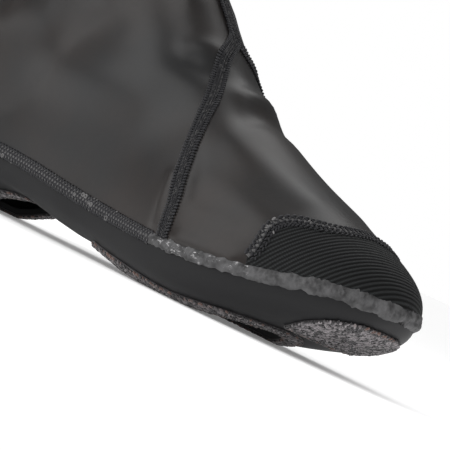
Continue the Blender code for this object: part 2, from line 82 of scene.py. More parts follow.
# Sections of the foot from heel to toe: along, half width, shift, low, arch, widest, top
FOOT = (
    (0.00, 0.000, 0.000, 0.190, 0.000, 0.240, 0.300),
    (0.03, 0.230, 0.000, 0.040, 0.000, 0.240, 0.620),
    (0.08, 0.308, 0.000, 0.000, 0.000, 0.235, 0.720),
    (0.15, 0.336, 0.000, 0.000, 0.000, 0.235, 0.800),
    (0.21, 0.340, -0.002, 0.050, 0.012, 0.250, 0.860),
    (0.28, 0.338, -0.008, 0.105, 0.045, 0.290, 0.960),
    (0.37, 0.339, -0.014, 0.115, 0.070, 0.300, 1.040),
    (0.46, 0.357, -0.020, 0.070, 0.055, 0.280, 1.070),
    (0.56, 0.405, -0.024, 0.012, 0.015, 0.245, 0.965),
    (0.64, 0.450, -0.022, 0.000, 0.000, 0.220, 0.862),
    (0.72, 0.475, -0.012, 0.000, 0.000, 0.210, 0.765),
    (0.80, 0.462, 0.006, 0.045, 0.000, 0.235, 0.685),
    (0.87, 0.408, 0.026, 0.100, 0.000, 0.275, 0.616),
    (0.93, 0.322, 0.038, 0.168, 0.000, 0.320, 0.552),
    (0.97, 0.218, 0.046, 0.232, 0.000, 0.342, 0.490),
    (1.00, 0.000, 0.052, 0.346, 0.000, 0.352, 0.358),
)

# Sections of the leg: height, back, front, half width
LEG = (
    (0.08, 0.004, 0.400, 0.325),
    (0.24, 0.003, 0.425, 0.335),
    (0.36, 0.011, 0.440, 0.340),
    (0.50, 0.028, 0.428, 0.342),
    (0.62, 0.040, 0.396, 0.340),
    (0.74, 0.042, 0.362, 0.336),
    (0.87, 0.036, 0.342, 0.340),
    (1.00, 0.026, 0.340, 0.350),
)

# The seam between the upper and the sole panel: along, height
SEAM = (
    (0.00, 0.290), (0.15, 0.268), (0.30, 0.258), (0.45, 0.226), (0.60, 0.205),
    (0.72, 0.208), (0.80, 0.234), (0.88, 0.282), (0.94, 0.328), (1.00, 0.352),
)
SEAL_START = 0.645

# The seam up each side to the instep: along the length, degrees up from the level
TAPE = (
    (0.667, -12.0), (0.646, 4.0), (0.621, 24.0), (0.602, 40.0), (0.586, 51.0),
    (0.568, 62.0), (0.536, 74.0), (0.500, 82.5), (0.464, 87.8),
)

# The side seams are found from this height, tuck under the sealant by these degrees, start to close
# in on the front one at this share of their run, and overlap it by this much
TAPE_FROM = 0.4 * INSTEP_HEIGHT
TAPE_TUCK, TAPE_CLOSES, TAPE_OVERLAP = 8.0, 0.80, 0.005

# The upper edge of the toe cap: degrees round the toe, level above the seam
CAP = (
    (0.0, 0.166), (20.0, 0.155), (40.0, 0.148), (58.0, 0.145), (72.0, 0.131),
    (84.0, 0.107), (96.0, 0.066), (106.0, 0.020),
)

# The cap starts this far above the seam. Its ribs lean by these degrees and bend round a centre.
CAP_LIFT = 0.003
RIB_SLOPE, RIB_CENTRE, RIB_RADIUS = 58.0, 0.175, 0.045

# The two openings in the sole: along, lateral and medial half widths as shares
CLEAT_OPENING = (
    (0.00, 0.00, 0.00), (0.03, 0.66, 0.62), (0.10, 0.77, 0.84), (0.25, 0.87, 0.98),
    (0.50, 0.94, 1.00), (0.72, 0.91, 0.86), (0.88, 0.68, 0.60), (0.96, 0.40, 0.34), (1.00, 0.00, 0.00),
)
HEEL_OPENING = (
    (0.00, 0.00, 0.00), (0.06, 0.60, 0.60), (0.20, 0.90, 0.90), (0.40, 1.00, 1.00),
    (0.70, 1.00, 1.00), (0.92, 0.80, 0.80), (0.98, 0.52, 0.52), (1.00, 0.00, 0.00),
)

# Each opening's outline, its rear end as a share of LENGTH, its middle of BALL_WIDTH, length and width
OPENINGS = {
    "cleat_opening_knit": (CLEAT_OPENING, 0.480, -0.070, 0.110, 0.076),
    "heel_opening_knit": (HEEL_OPENING, 0.050, 0.0, 0.078, 0.052),
}

# The toe patch: where it starts, its size, its middle, how its front is rounded and how far it rises
TOE_PATCH_START, TOE_PATCH_LENGTH, TOE_PATCH_WIDTH = 0.872, 0.040, 0.062
TOE_PATCH_MIDDLE, PATCH_ROUND, PATCH_RISE = 0.004, 0.22, 0.82
TOE_PATCH = ((0.00, 0.84), (0.35, 1.00), (0.65, 0.92), (0.85, 0.72), (1.00, 0.46))

# Soft folds in the worn upper, in millimetres from the heel: where each starts and ends, how far
# it spreads, and how much it rises, or sinks where that is negative
MIDDLE_FOLDS = (
    # The ledge over the tongue of the shoe inside
    ((172, -14, 97), (172, 14, 97), 6.0, 2.6),
    ((184, -20, 88), (184, 20, 88), 6.0, -1.4),
)
# The same for the folds of the lateral side, which the medial side mirrors
SIDE_FOLDS = (
    # The ankle: one broad swelling, a bright fold behind it and the creases round them
    ((158, -22, 100), (150, -24, 98), 7.0, -1.2),
    ((150, -14, 111), (138, -24, 104), 5.0, 1.1),
    ((112, -27, 126), (140, -27, 100), 9.0, -1.5),
    ((84, -35, 76), (132, -33, 80), 17.0, 3.6),
    ((96, -33, 112), (112, -30, 104), 9.0, 0.9),
    ((18, -26, 105), (56, -35, 106), 5.0, 2.4),
    ((24, -30, 94), (86, -34, 112), 5.5, -1.5),
    ((60, -36, 92), (30, -30, 84), 8.0, 0.7),
    ((92, -33, 126), (44, -31, 120), 7.0, 1.3),
    ((122, -20, 128), (104, -26, 142), 6.0, 1.2),
    # Long soft pulls over the forefoot towards the toe cap
    ((192, -30, 76), (236, -20, 66), 8.0, 0.7),
    ((196, -40, 62), (238, -32, 56), 9.0, -0.8),
    ((178, -38, 72), (196, -44, 50), 7.0, 0.5),
    # The cloth stands out over the sealed seam and puckers beside the taped one
    ((204, -50, 25), (234, -48, 27), 5.0, 2.0),
    ((206, -49, 40), (228, -47, 42), 5.0, -0.7),
    ((187, -49, 27), (180, -46, 50), 2.8, 1.2),
    ((196, -49, 44), (186, -43, 62), 4.0, -0.7),
    # Loose cloth round the leg and the heel
    ((66, -36, 140), (98, -28, 148), 8.0, -1.2),
    ((36, -30, 154), (92, -29, 162), 9.0, 1.2),
    ((30, -28, 174), (86, -30, 180), 9.0, -0.9),
    ((12, -8, 104), (34, -30, 90), 7.0, -1.1),
    ((9, -14, 72), (30, -33, 60), 9.0, 0.8),
)
FOLDS = (*MIDDLE_FOLDS, *SIDE_FOLDS, *(
    ((x1, -y1, z1), (x2, -y2, z2), spread, rise) for (x1, y1, z1), (x2, y2, z2), spread, rise in SIDE_FOLDS))

# Rows of stitches over each seam: offset across it, and where each row starts, in stitches
SEAM_ROWS = ((-0.0018, -1 / 3), (0.0, 0.0), (0.0018, 1 / 3))
SEAM_EDGES = ((-0.0028, 0.9), (0.0028, -0.9))

# The cap's edge: shape, offset inwards from its middle, turn, start in stitches, share of the pitch
CAP_EDGE_ROWS = (
    ("rope", 0.0018, 0.35, 0.0, 1.0),
    ("rung", 0.0003, 1.2, 0.45, 1.0),
    ("rung", 0.0005, -0.9, 0.1, 1.0),
    ("inner", -0.0010, 0.35, 0.25, 1.0),
    ("fine", -0.0024, -0.5, 0.0, 0.7),
    ("fine", -0.0036, 0.6, 0.3, 0.8),
)

# The taped seams: the combs' distance from the middle, and the fine rows' offsets and turns
COMB_OFFSET, COMB_LEAN = 0.0028, 0.2
TAPE_ROWS = ((-0.0013, -0.75), (-0.0003, 0.75), (0.0007, -0.75))

# Height of the stitched bands and of the sealant across their width, from edge to edge
FLAT_BAND = (0.0, 0.0004, 0.0005, 0.0004, 0.0)
SEAM_BAND = (0.0, 0.00035, 0.0004, 0.00035, 0.0)
SEAL_BULGE = (0.0, 0.35, 0.62, 0.8, 0.92, 0.98, 1.0, 0.98, 0.94, 0.85, 0.66, 0.38, 0.0)

# Studio: where each light hangs from the aim, along the camera's up, back and right, and its size
LIGHTS = {
    "key": (0.85, 0.35, -0.50, 1.0),
    "rim": (0.90, -0.50, 0.35, 0.7),
}
AIM = Vector((0.0539, 0.0008, 0.04))
AIM_LEFT, AIM_UP = 0.01286, 0.00488


class OvershoeSizes(bpy.types.PropertyGroup):
    """The sizes that can be changed without a new part."""

    wall: FloatProperty(name="Wall", description="Thickness of the upper's coated fabric and lining",
                        default=0.0022, min=0.001, max=0.004, unit="LENGTH")
    sole_wall: FloatProperty(name="Sole wall", description="Thickness of the sole panel",
                             default=0.0026, min=0.001, max=0.004, unit="LENGTH")
    fold_strength: FloatProperty(name="Folds", description="How strongly the upper is creased",
                                 default=1.0, min=0.0, max=2.0, subtype="FACTOR")
    seam_pitch: FloatProperty(name="Seam pitch", description="Length of one stitch of the lower seam",
                              default=0.00205, min=0.001, max=0.004, unit="LENGTH")
    edge_pitch: FloatProperty(name="Cap edge pitch", description="Length of one stitch of the cap's edge",
                              default=0.0027, min=0.001, max=0.005, unit="LENGTH")
    tape_pitch: FloatProperty(name="Tape pitch", description="Length of one stitch of the taped seams",
                              default=0.0015, min=0.0008, max=0.003, unit="LENGTH")
    rib_pitch: FloatProperty(name="Rib pitch", description="Distance between the toe cap's ribs",
                             default=0.0018, min=0.001, max=0.004, unit="LENGTH")
    knit_pitch: FloatProperty(name="Knit pitch", description="Width of one loop of the coarse knit",
                              default=0.0024, min=0.001, max=0.004, unit="LENGTH")
    hem_height: FloatProperty(name="Hem", description="Height of the folded hem at the collar",
                              default=0.012, min=0.004, max=0.03, unit="LENGTH")


def colour(name, description, default):
    """Return the property for one finish's colour."""
    return FloatVectorProperty(name=name, description=description, default=default, size=3,
                               min=0.0, max=1.0, subtype="COLOR")


class OvershoeColours(bpy.types.PropertyGroup):
    """The colours of the finishes."""

    fabric: colour("Coated fabric", "Satin outer fabric of the upper", (0.013, 0.013, 0.0135))
    # Painted warm reflection: this brownish colour stands in for a warm reflection on the coated fabric.
    fabric_warm_reflection: colour("Warm tint", "Brownish tint of the coated fabric", (0.0215, 0.0165, 0.0145))
    panel: colour("Sole panel", "Smooth panel under the foot", (0.0095, 0.0095, 0.0105))
    thread: colour("Thread", "Dark seam thread", (0.012, 0.012, 0.015))
    # Painted glints: this pale colour stands in for the highlights on the seam threads and the ground between
    # them.
    thread_painted_glint: colour("Thread glint", "Lighter fibres of the seam thread", (0.16, 0.155, 0.155))
    seal: colour("Sealant", "Grey sealant round the toe", (0.075, 0.074, 0.076))
    seal_fleck: colour("Sealant flecks", "Pale chips in the sealant", (0.40, 0.395, 0.40))
    cap: colour("Toe cap", "Ribbed fabric of the toe cap", (0.0075, 0.0082, 0.0085))
    knit: colour("Knit", "Dark fibres of the knit", (0.014, 0.011, 0.013))
    knit_light: colour("Knit glint", "Light fibres of the knit", (0.34, 0.31, 0.32))
    knit_red: colour("Knit rust", "Reddish fibres at the knit's edges", (0.13, 0.072, 0.058))
    lining: colour("Lining", "Brushed lining", (0.030, 0.030, 0.033))
    floor: colour("Floor", "Pale studio floor", (0.92, 0.92, 0.92))


class OvershoeStage(bpy.types.PropertyGroup):
    """Where the camera stands and how bright the studio is."""

    azimuth: FloatProperty(name="Azimuth", description="Turn of the camera round the shoe",
                           default=math.radians(40.37), subtype="ANGLE")
    elevation: FloatProperty(name="Elevation", description="Angle of the camera over the floor",
                             default=math.radians(0.6), subtype="ANGLE")
    roll: FloatProperty(name="Roll", description="Tilt of the camera about its view",
                        default=math.radians(24.72), subtype="ANGLE")
    distance: FloatProperty(name="Distance", description="From the camera to the shoe",
                            default=2.2795, unit="LENGTH")
    key: FloatProperty(name="Key light", description="Power of the large overhead light",
                       default=5.5, unit="POWER")
    rim: FloatProperty(name="Rim light", description="Power of the light behind the toe",
                       default=2.6, unit="POWER")
    fill: FloatProperty(name="Fill light", description="Power of the light beside the camera",
                        default=0.4, unit="POWER")


# The last: one surface that every panel, band and patch lies on

def spline(xs, ys):
    """Return a smooth curve through the points, with no bend at its ends."""
    xs, ys = np.asarray(xs, float), np.asarray(ys, float)
    count = len(xs)
    gaps = np.diff(xs)
    slopes = np.diff(ys) / gaps
    matrix = np.eye(count)
    sides = np.zeros(count)
    for i in range(1, count - 1):
        matrix[i, i - 1:i + 2] = gaps[i - 1], 2 * (gaps[i - 1] + gaps[i]), gaps[i]
        sides[i] = 6 * (slopes[i] - slopes[i - 1])
    bends = np.linalg.solve(matrix, sides)

    def curve(x):
        x = np.clip(x, xs[0], xs[-1])
        i = np.clip(np.searchsorted(xs, x) - 1, 0, count - 2)
        t = x - xs[i]
        start = slopes[i] - gaps[i] * (2 * bends[i] + bends[i + 1]) / 6
        return ys[i] + t * start + t**2 * bends[i] / 2 + t**3 * (bends[i + 1] - bends[i]) / (6 * gaps[i])

    return curve


def turned(share):
    """Turn a share of a length into a share of a half circle, so that both ends come out round."""
    return np.arccos(1 - 2 * np.clip(share, 0, 1)) / math.pi


def curves(table, round_ends):
    """Return a curve for each column of a table after its first."""
    rows = np.array(table)
    at = turned(rows[:, 0]) if round_ends else rows[:, 0]
    return [spline(at, rows[:, i]) for i in range(1, rows.shape[1])]


HALF_WIDTH, SHIFT, LOW, ARCH, WIDEST, TOP = curves(FOOT, round_ends=True)
LEG_BACK, LEG_FRONT, LEG_HALF_WIDTH = curves(LEG, round_ends=False)
(SEAM_RISE,) = curves(SEAM, round_ends=False)


def foot_gap(x, y, z):
    """Return how far a point lies outside the foot body, roughly, and negative inside."""
    u = turned(x / LENGTH)
    half = np.maximum(HALF_WIDTH(u) * BALL_WIDTH, 1e-5)
    across = (y - SHIFT(u) * BALL_WIDTH) / half
    lifted = ARCH(u) * np.clip(0.5 + 0.5 * across, 0, 1)
    low = (LOW(u) + lifted) * INSTEP_HEIGHT
    widest, top = WIDEST(u) * INSTEP_HEIGHT, TOP(u) * INSTEP_HEIGHT
    above = z > widest
    rise = np.where(above, (z - widest) / (top - widest), (widest - z) / (widest - low))
    power = np.where(above, OVER, UNDER)
    round_gap = (np.abs(across)**power + np.abs(rise)**power)**(1 / power) * half - half
    past_end = np.maximum(x - LENGTH, -x)
    return np.where(past_end > 0, np.maximum(round_gap, past_end), round_gap)


def leg_gap(x, y, z):
    """Return how far a point lies outside the leg, roughly, and negative inside."""
    height = z / COLLAR_HEIGHT
    back, front = LEG_BACK(height) * LENGTH, LEG_FRONT(height) * LENGTH
    half = LEG_HALF_WIDTH(height) * BALL_WIDTH
    along = (2 * x - front - back) / (front - back)
    round_gap = (np.abs(along)**ROUND + np.abs(y / half)**ROUND)**(1 / ROUND) * half - half
    return np.maximum(round_gap, LEG[0][0] * COLLAR_HEIGHT - z)


def last_gap(x, y, z):
    """Return the gap to the whole last, cut off by the floor under the sole panel."""
    foot, leg = foot_gap(x, y, z), leg_gap(x, y, z)
    ahead = np.clip((x / LENGTH - BLEND_START) / BLEND_RUN, 0, 1)
    blend = ANKLE_BLEND * (HEEL_BLEND + (1 - HEEL_BLEND) * ahead**2 * (3 - 2 * ahead))
    shared = np.maximum(blend - np.abs(foot - leg), 0) / blend
    return np.maximum(np.minimum(foot, leg) - shared**2 * blend / 4, SOLE_FLOOR - z)


def gradients(points):
    """Return the slope of the gap at each point."""
    parts = []
    for axis in np.eye(3) * SLOPE_STEP:
        ahead, behind = points + axis, points - axis
        change = last_gap(*np.moveaxis(ahead, -1, 0)) - last_gap(*np.moveaxis(behind, -1, 0))
        parts.append(change / (2 * SLOPE_STEP))
    return np.stack(parts, axis=-1)


def unit(vectors):
    """Return the vectors at length one."""
    return vectors / np.maximum(np.linalg.norm(vectors, axis=-1, keepdims=True), 1e-12)


def normals(points):
    """Return the outward direction of the last's surface at each point."""
    return unit(gradients(points))


def settle(points):
    """Move points that lie near the last's surface onto it."""
    for _ in range(8):
        slopes = gradients(points)
        miss = last_gap(*np.moveaxis(points, -1, 0))
        points = points - (miss / (slopes**2).sum(axis=-1))[..., None] * slopes
    return points


def reach(place, shape, far=0.34, steps=90):
    """Return where rays from inside leave the last. place(distance) gives a point on each ray."""
    near, beyond = np.zeros(shape), np.full(shape, far)
    found = np.zeros(shape, bool)
    distances = np.linspace(0, far, steps)
    for before, after in zip(distances[:-1], distances[1:]):
        outside = (last_gap(*place(np.full(shape, after))) > 0) & ~found
        near, beyond = np.where(outside, before, near), np.where(outside, after, beyond)
        found |= outside
        if found.all():
            break
    for _ in range(26):
        middle = (near + beyond) / 2
        outside = last_gap(*place(middle)) > 0
        near, beyond = np.where(outside, near, middle), np.where(outside, middle, beyond)
    return np.stack(place(near), axis=-1)


def seam_height(x):
    """Return the height of the lower seam above the floor."""
    return SEAM_RISE(x / LENGTH) * INSTEP_HEIGHT


def along_level(x, y, dx, dy, level, lift):
    """Return where level rays leave the last: level 0 is the seam raised by lift, and 1 the collar."""
    x, y, dx, dy, level = np.broadcast_arrays(x, y, dx, dy, level)

    def place(distance):
        ahead = x + dx * distance
        base = seam_height(ahead) + lift
        return ahead, y + dy * distance, base + level * (COLLAR_HEIGHT - base)

    return reach(place, x.shape)


def spine(level, station, lift):
    """Return the x of a point on the middle line of a level, at a station from -1 at the heel to 1."""
    inside = LEG_MIDDLE * LENGTH
    front = along_level(inside, 0.0, 1.0, 0.0, level, lift)[..., 0]
    back = along_level(inside, 0.0, -1.0, 0.0, level, lift)[..., 0]
    straight = np.maximum(front - back - END_ROUND * BALL_WIDTH, LEAST_STRAIGHT * (front - back))
    return (front + back + station * straight) / 2


def columns(toe_steps, heel_steps, side_steps):
    """Return the stations and directions round the last, from the toe along the medial side and back."""
    quarter = math.pi / 2
    toe = [(1.0, a) for a in np.linspace(-quarter, quarter, toe_steps + 1)]
    medial = [(s, quarter) for s in np.linspace(1, -1, side_steps + 1)[1:-1]]
    heel = [(-1.0, a) for a in np.linspace(quarter, 3 * quarter, heel_steps + 1)]
    lateral = [(s, -quarter) for s in np.linspace(-1, 1, side_steps + 1)[1:-1]]
    return np.array(toe + medial + heel + lateral).T


def ring(level, station, direction, lift=0.0):
    """Return the last's surface points at a level, at the given stations and directions."""
    level, station, direction = np.broadcast_arrays(level, station, direction)
    one_level = level[:, :1] if level.ndim == 2 else level[:1]
    front = spine(one_level, 1.0, lift)
    back = spine(one_level, -1.0, lift)
    middle = (front + back) / 2 + station * (front - back) / 2
    return along_level(middle, 0.0, np.cos(direction), np.sin(direction), level, lift)


def folds(points):
    """Return how far the worn fabric stands off the last at each point."""
    total = np.zeros(points.shape[:-1])
    for start, end, spread, rise in FOLDS:
        start, end = np.array(start) / 1000, np.array(end) / 1000
        ahead = end - start
        share = np.clip(((points - start) @ ahead) / (ahead @ ahead), 0, 1)
        away = np.linalg.norm(points - start - share[..., None] * ahead, axis=-1)
        total += rise / 1000 * np.exp(-(away / (spread / 1000))**2)
    return total * bpy.context.scene.overshoe_sizes.fold_strength


def lifted(points, lift):
    """Return surface points moved outwards by the folds and a further lift."""
    return points + normals(points) * (folds(points) + lift)[..., None]


# Making meshes

def select_only(piece):
    """Select one object and make it active."""
    bpy.ops.object.select_all(action="DESELECT")
    piece.select_set(True)
    bpy.context.view_layer.objects.active = piece


def edit(piece, *steps):
    """Run edit mode steps on the whole of a piece."""
    select_only(piece)
    bpy.ops.object.mode_set(mode="EDIT")
    bpy.ops.mesh.select_all(action="SELECT")
    for step in steps:
        step()
    bpy.ops.object.mode_set(mode="OBJECT")


def apply_modifier(piece, kind, **settings):
    """Add a modifier to a piece with these settings and apply it."""
    modifier = piece.modifiers.new(kind.title(), kind)
    for key, value in settings.items():
        setattr(modifier, key, value)
    select_only(piece)
    bpy.ops.object.modifier_apply(modifier=modifier.name)


def sheet(name, rows, closed=False):
    """Lay a grid on rows of surface points, with a UV map in metres. Closed joins its two sides."""
    if closed:
        rows = np.concatenate([rows, rows[:, :1]], axis=1)
    height, width = rows.shape[:2]
    bpy.ops.object.select_all(action="DESELECT")
    bpy.ops.mesh.primitive_grid_add(x_subdivisions=width - 1, y_subdivisions=height - 1, size=1.0)
    piece = bpy.context.object
    piece.name = name
    mesh = piece.data
    mesh.vertices.foreach_set("co", (rows + REST).ravel())
    across = np.concatenate([np.zeros((height, 1)), np.linalg.norm(np.diff(rows, axis=1), axis=-1)], axis=1)
    along = np.concatenate([np.zeros((1, width)), np.linalg.norm(np.diff(rows, axis=0), axis=-1)], axis=0)
    flat = np.stack([across.cumsum(axis=1), along.cumsum(axis=0)], axis=-1).reshape(-1, 2)
    corners = np.empty(len(mesh.loops), int)
    mesh.loops.foreach_get("vertex_index", corners)
    mesh.uv_layers[0].data.foreach_set("uv", flat[corners].ravel())
    mesh.update()
    middle = rows[height // 3, width // 3]
    near = min(mesh.polygons, key=lambda face: (face.center - Vector(middle + REST)).length)
    if near.normal.dot(Vector(normals(middle[None])[0])) < 0:
        edit(piece, bpy.ops.mesh.flip_normals)
    if closed:
        edit(piece, lambda: bpy.ops.mesh.remove_doubles(threshold=1e-6))
    return piece


def thicken(piece, depth, **settings):
    """Give a sheet a closed wall that grows inwards from its outer face."""
    apply_modifier(piece, "SOLIDIFY", thickness=depth, offset=-1.0, use_rim=True, **settings)
    return piece


def finish(piece, material, node=None, angle=50.0):
    """Smooth a piece, give it its material and let it ride on the shoe."""
    select_only(piece)
    bpy.ops.object.shade_smooth_by_angle(angle=math.radians(angle))
    for item in material if isinstance(material, (list, tuple)) else (material,):
        piece.data.materials.append(item)
    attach(piece, "root")
    if node:
        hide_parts(node)
    return piece


def about_origin(operator, **settings):
    """Return an edit mode step that turns or resizes the whole about the origin."""
    return lambda: operator(center_override=(0, 0, 0), **settings)


def bead(length, width, height, around=6, rings=5):
    """Model one short thread segment, a bead drawn out to its size. Returns its points and faces."""
    bpy.ops.object.select_all(action="DESELECT")
    bpy.ops.mesh.primitive_uv_sphere_add(segments=around, ring_count=rings, radius=0.5)
    piece = bpy.context.object
    edit(piece, about_origin(bpy.ops.transform.rotate, value=math.pi / 2, orient_axis="Y"),
         about_origin(bpy.ops.transform.resize, value=(length, width, height)))
    return taken(piece)


def loop(length, width, thread, around=9, sides=5):
    """Model one oval thread loop. Returns its points and faces."""
    bpy.ops.object.select_all(action="DESELECT")
    bpy.ops.mesh.primitive_torus_add(major_segments=around, minor_segments=sides,
                                     major_radius=0.5, minor_radius=thread / max(length, width))
    piece = bpy.context.object
    edit(piece, about_origin(bpy.ops.transform.resize, value=(length, width, max(length, width))))
    return taken(piece)


def taken(piece):
    """Return the points and faces of a modelled shape, and remove its object."""
    points = np.array([vertex.co for vertex in piece.data.vertices])
    faces = [tuple(face.vertices) for face in piece.data.polygons]
    mesh = piece.data
    bpy.data.objects.remove(piece, do_unlink=True)
    bpy.data.meshes.remove(mesh)
    return points, faces


def copies(name, shape, places, axes, tones):
    """Join a copy of a shape at each place, with its axes along, across and out, and its tones."""
    points, faces = shape
    count = len(places)
    where = places[:, None, :] + np.einsum("tk,pkj->ptj", points, axes) + REST
    lengths = np.tile([len(face) for face in faces], count)
    once = np.concatenate([np.array(face) for face in faces])
    corners = (once[None] + np.arange(count)[:, None] * len(points)).ravel()
    mesh = bpy.data.meshes.new(name)
    mesh.vertices.add(count * len(points))
    mesh.vertices.foreach_set("co", where.ravel())
    mesh.loops.add(len(corners))
    mesh.loops.foreach_set("vertex_index", corners)
    mesh.polygons.add(len(lengths))
    mesh.polygons.foreach_set("loop_start", np.concatenate([[0], np.cumsum(lengths)[:-1]]))
    mesh.polygons.foreach_set("loop_total", lengths)
    mesh.update(calc_edges=True)
    for key, values in tones.items():
        layer = mesh.attributes.new(key, "FLOAT", "POINT")
        layer.data.foreach_set("value", np.repeat(values, len(points)).astype(np.float32))
    piece = bpy.data.objects.new(name, mesh)
    bpy.context.collection.objects.link(piece)
    return piece


def joined(name, *parts):
    """Join several pieces into the first, under one name."""
    bpy.ops.object.select_all(action="DESELECT")
    for part in parts:
        part.select_set(True)
    bpy.context.view_layer.objects.active = parts[0]
    bpy.ops.object.join()
    parts[0].name = name
    return parts[0]


def even(path, pitch, closed=False):
    """Return points at an even pitch along a path, and the direction ahead at each."""
    if closed:
        path = np.concatenate([path, path[:1]])
    run = np.concatenate([[0], np.linalg.norm(np.diff(path, axis=0), axis=-1).cumsum()])
    count = max(int(round(run[-1] / pitch)), 2)
    at = (np.arange(count) + 0.5) * run[-1] / count
    points = np.stack([np.interp(at, run, path[:, i]) for i in range(3)], axis=-1)
    after = np.stack([np.interp(at + pitch / 2, run, path[:, i]) for i in range(3)], axis=-1)
    before = np.stack([np.interp(at - pitch / 2, run, path[:, i]) for i in range(3)], axis=-1)
    return points, unit(after - before)


def turned_axes(ahead, out, turns, sizes):
    """Return axes along, across and out for each place, turned in the surface and sized."""
    ahead = unit(ahead - out * (ahead * out).sum(axis=-1, keepdims=True))
    left = np.cross(out, ahead)
    along = ahead * np.cos(turns)[:, None] + left * np.sin(turns)[:, None]
    across = left * np.cos(turns)[:, None] - ahead * np.sin(turns)[:, None]
    return np.stack([along, across, out], axis=1) * sizes


def stitched(path, pitch, offset, lift, turn=0.0, shift=0.0, closed=False, jitter=0.0, seed=1,
             size_spread=0.0):
    """Return places and axes for stitches along a path: offset to its left, and turned in the surface."""
    random = np.random.default_rng(seed)
    points, ahead = even(path, pitch, closed)
    out = normals(points)
    left = unit(np.cross(out, ahead))
    points = settle(points + left * offset + ahead * shift)
    turns = turn + jitter * random.standard_normal(len(points))
    sizes = np.clip(1 + size_spread * random.standard_normal((len(points), 1, 1)), 0.6, 1.5)
    return lifted(points, lift), turned_axes(ahead, normals(points), turns, sizes)


def tones_for(places, seed, **extra):
    """Return a random tone for each copy, with any further values."""
    random = np.random.default_rng(seed)
    return {"tone": random.random(len(places)), **extra}


# Finishes

def feed(tree, socket, value):
    """Link a socket to another one, or set its value."""
    if isinstance(value, bpy.types.NodeSocket):
        tree.links.new(value, socket)
    else:
        socket.default_value = value


def node(tree, kind, **inputs):
    """Add a node. set_NAME sets an option, iN feeds the input of that number, and others feed by name."""
    made = tree.nodes.new("ShaderNode" + kind)
    for key, value in inputs.items():
        if key.startswith("set_"):
            setattr(made, key[4:], value)
        elif key[0] == "i" and key[1:].isdigit():
            feed(tree, made.inputs[int(key[1:])], value)
        else:
            feed(tree, made.inputs[key.replace("_", " ")], value)
    return made


def object_place(tree):
    """Return the place on the piece, which the finishes are laid out by."""
    return node(tree, "TexCoord").outputs["Object"]


def scaled(colour, factor):
    """Return a colour made darker or lighter."""
    return tuple(factor * c for c in colour)


def ranged(tree, value, low, high, to_low=0.0, to_high=1.0):
    """Return a value mapped from one range to another and kept within it."""
    made = node(tree, "MapRange", Value=value, From_Min=low, From_Max=high, To_Min=to_low, To_Max=to_high)
    return made.outputs["Result"]


def ramp(tree, factor, *stops):
    """Add a colour ramp of grey stops, each a place and a value."""
    made = node(tree, "ValToRGB", Fac=factor)
    elements = made.color_ramp.elements
    while len(elements) < len(stops):
        elements.new(0.5)
    for element, (place, value) in zip(elements, stops):
        element.position = place
        element.color = (*value, 1.0) if isinstance(value, tuple) else (value, value, value, 1.0)
    return made.outputs["Color"]


def group(name, inputs, outputs):
    """Start a node group with float inputs and outputs, and return it with its two end nodes."""
    tree = bpy.data.node_groups.new(name, "ShaderNodeTree")
    for key, value in inputs.items():
        socket = tree.interface.new_socket(key, in_out="INPUT", socket_type="NodeSocketFloat")
        socket.default_value = value
    for key in outputs:
        tree.interface.new_socket(key, in_out="OUTPUT", socket_type="NodeSocketFloat")
    return tree, tree.nodes.new("NodeGroupInput"), tree.nodes.new("NodeGroupOutput")


def grain_group():
    """Fine grain of coated or moulded surfaces: a height, and a mask of slow stains over the surface, which
    also places the painted warm reflection on the coated fabric and varies the painted glints of the seam
    ground.
    """
    tree, given, out = group("surface_grain", {"Grain Scale": 1400.0, "Stain Scale": 22.0, "Mix": 0.5},
                             ("Height", "Stain"))
    place = object_place(tree)
    fine = node(tree, "TexNoise", Vector=place, Scale=given.outputs["Grain Scale"], Detail=3.0, Roughness=0.6)
    cells = node(tree, "TexVoronoi", Vector=place, Scale=given.outputs["Grain Scale"])
    both = node(tree, "Mix", Factor=given.outputs["Mix"], A=fine.outputs["Fac"], B=cells.outputs["Distance"])
    stain = node(tree, "TexNoise", Vector=place, Scale=given.outputs["Stain Scale"],
                 Detail=4.0, Roughness=0.55)
    tree.links.new(both.outputs["Result"], out.inputs["Height"])
    tree.links.new(stain.outputs["Fac"], out.inputs["Stain"])
    return tree


def fleck_group():
    """Scuffs and flecks: a mask of small bright chips that gather where a slow noise lets them."""
    tree, given, out = group("scuff_flecks", {"Fleck Scale": 900.0, "Patch Scale": 60.0, "Amount": 0.5},
                             ("Mask",))
    place = object_place(tree)
    stretched = node(tree, "Mapping", Vector=node(tree, "UVMap").outputs["UV"], Scale=(0.45, 1.5, 1.0))
    fleck = node(tree, "TexNoise", Vector=stretched.outputs["Vector"], Scale=given.outputs["Fleck Scale"],
                 Detail=3.0, Roughness=0.75)
    patch = node(tree, "TexNoise", Vector=place, Scale=given.outputs["Patch Scale"], Detail=2.0)
    gathered = node(tree, "Math", set_operation="MULTIPLY", i0=fleck.outputs["Fac"], i1=patch.outputs["Fac"])
    raised = node(tree, "Math", set_operation="MULTIPLY_ADD", i0=given.outputs["Amount"], i1=0.22,
                  i2=gathered.outputs["Value"])
    tree.links.new(ranged(tree, raised.outputs["Value"], 0.56, 0.64), out.inputs["Mask"])
    return tree


def effect(tree, name, **inputs):
    """Place a node group in a material."""
    made = tree.nodes.new("ShaderNodeGroup")
    made.node_tree = bpy.data.node_groups[name]
    for key, value in inputs.items():
        feed(tree, made.inputs[key.replace("_", " ")], value)
    return made


def start(name, **values):
    """Return a new material's tree and shader, with constant values set on the shader's own sockets."""
    material = bpy.data.materials.new(name)
    material.use_nodes = True
    tree = material.node_tree
    shader = tree.nodes["Principled BSDF"]
    for key, value in values.items():
        shader.inputs[key.replace("_", " ")].default_value = value
    return material, tree, shader


def blend_colours(tree, factor, a, b):
    """Return a colour mixed from a to b by a factor."""
    mixed = node(tree, "Mix", set_data_type="RGBA", i0=factor)
    for socket, value in ((mixed.inputs[6], a), (mixed.inputs[7], b)):
        feed(tree, socket, value if isinstance(value, bpy.types.NodeSocket) else (*value, 1.0))
    return mixed.outputs[2]


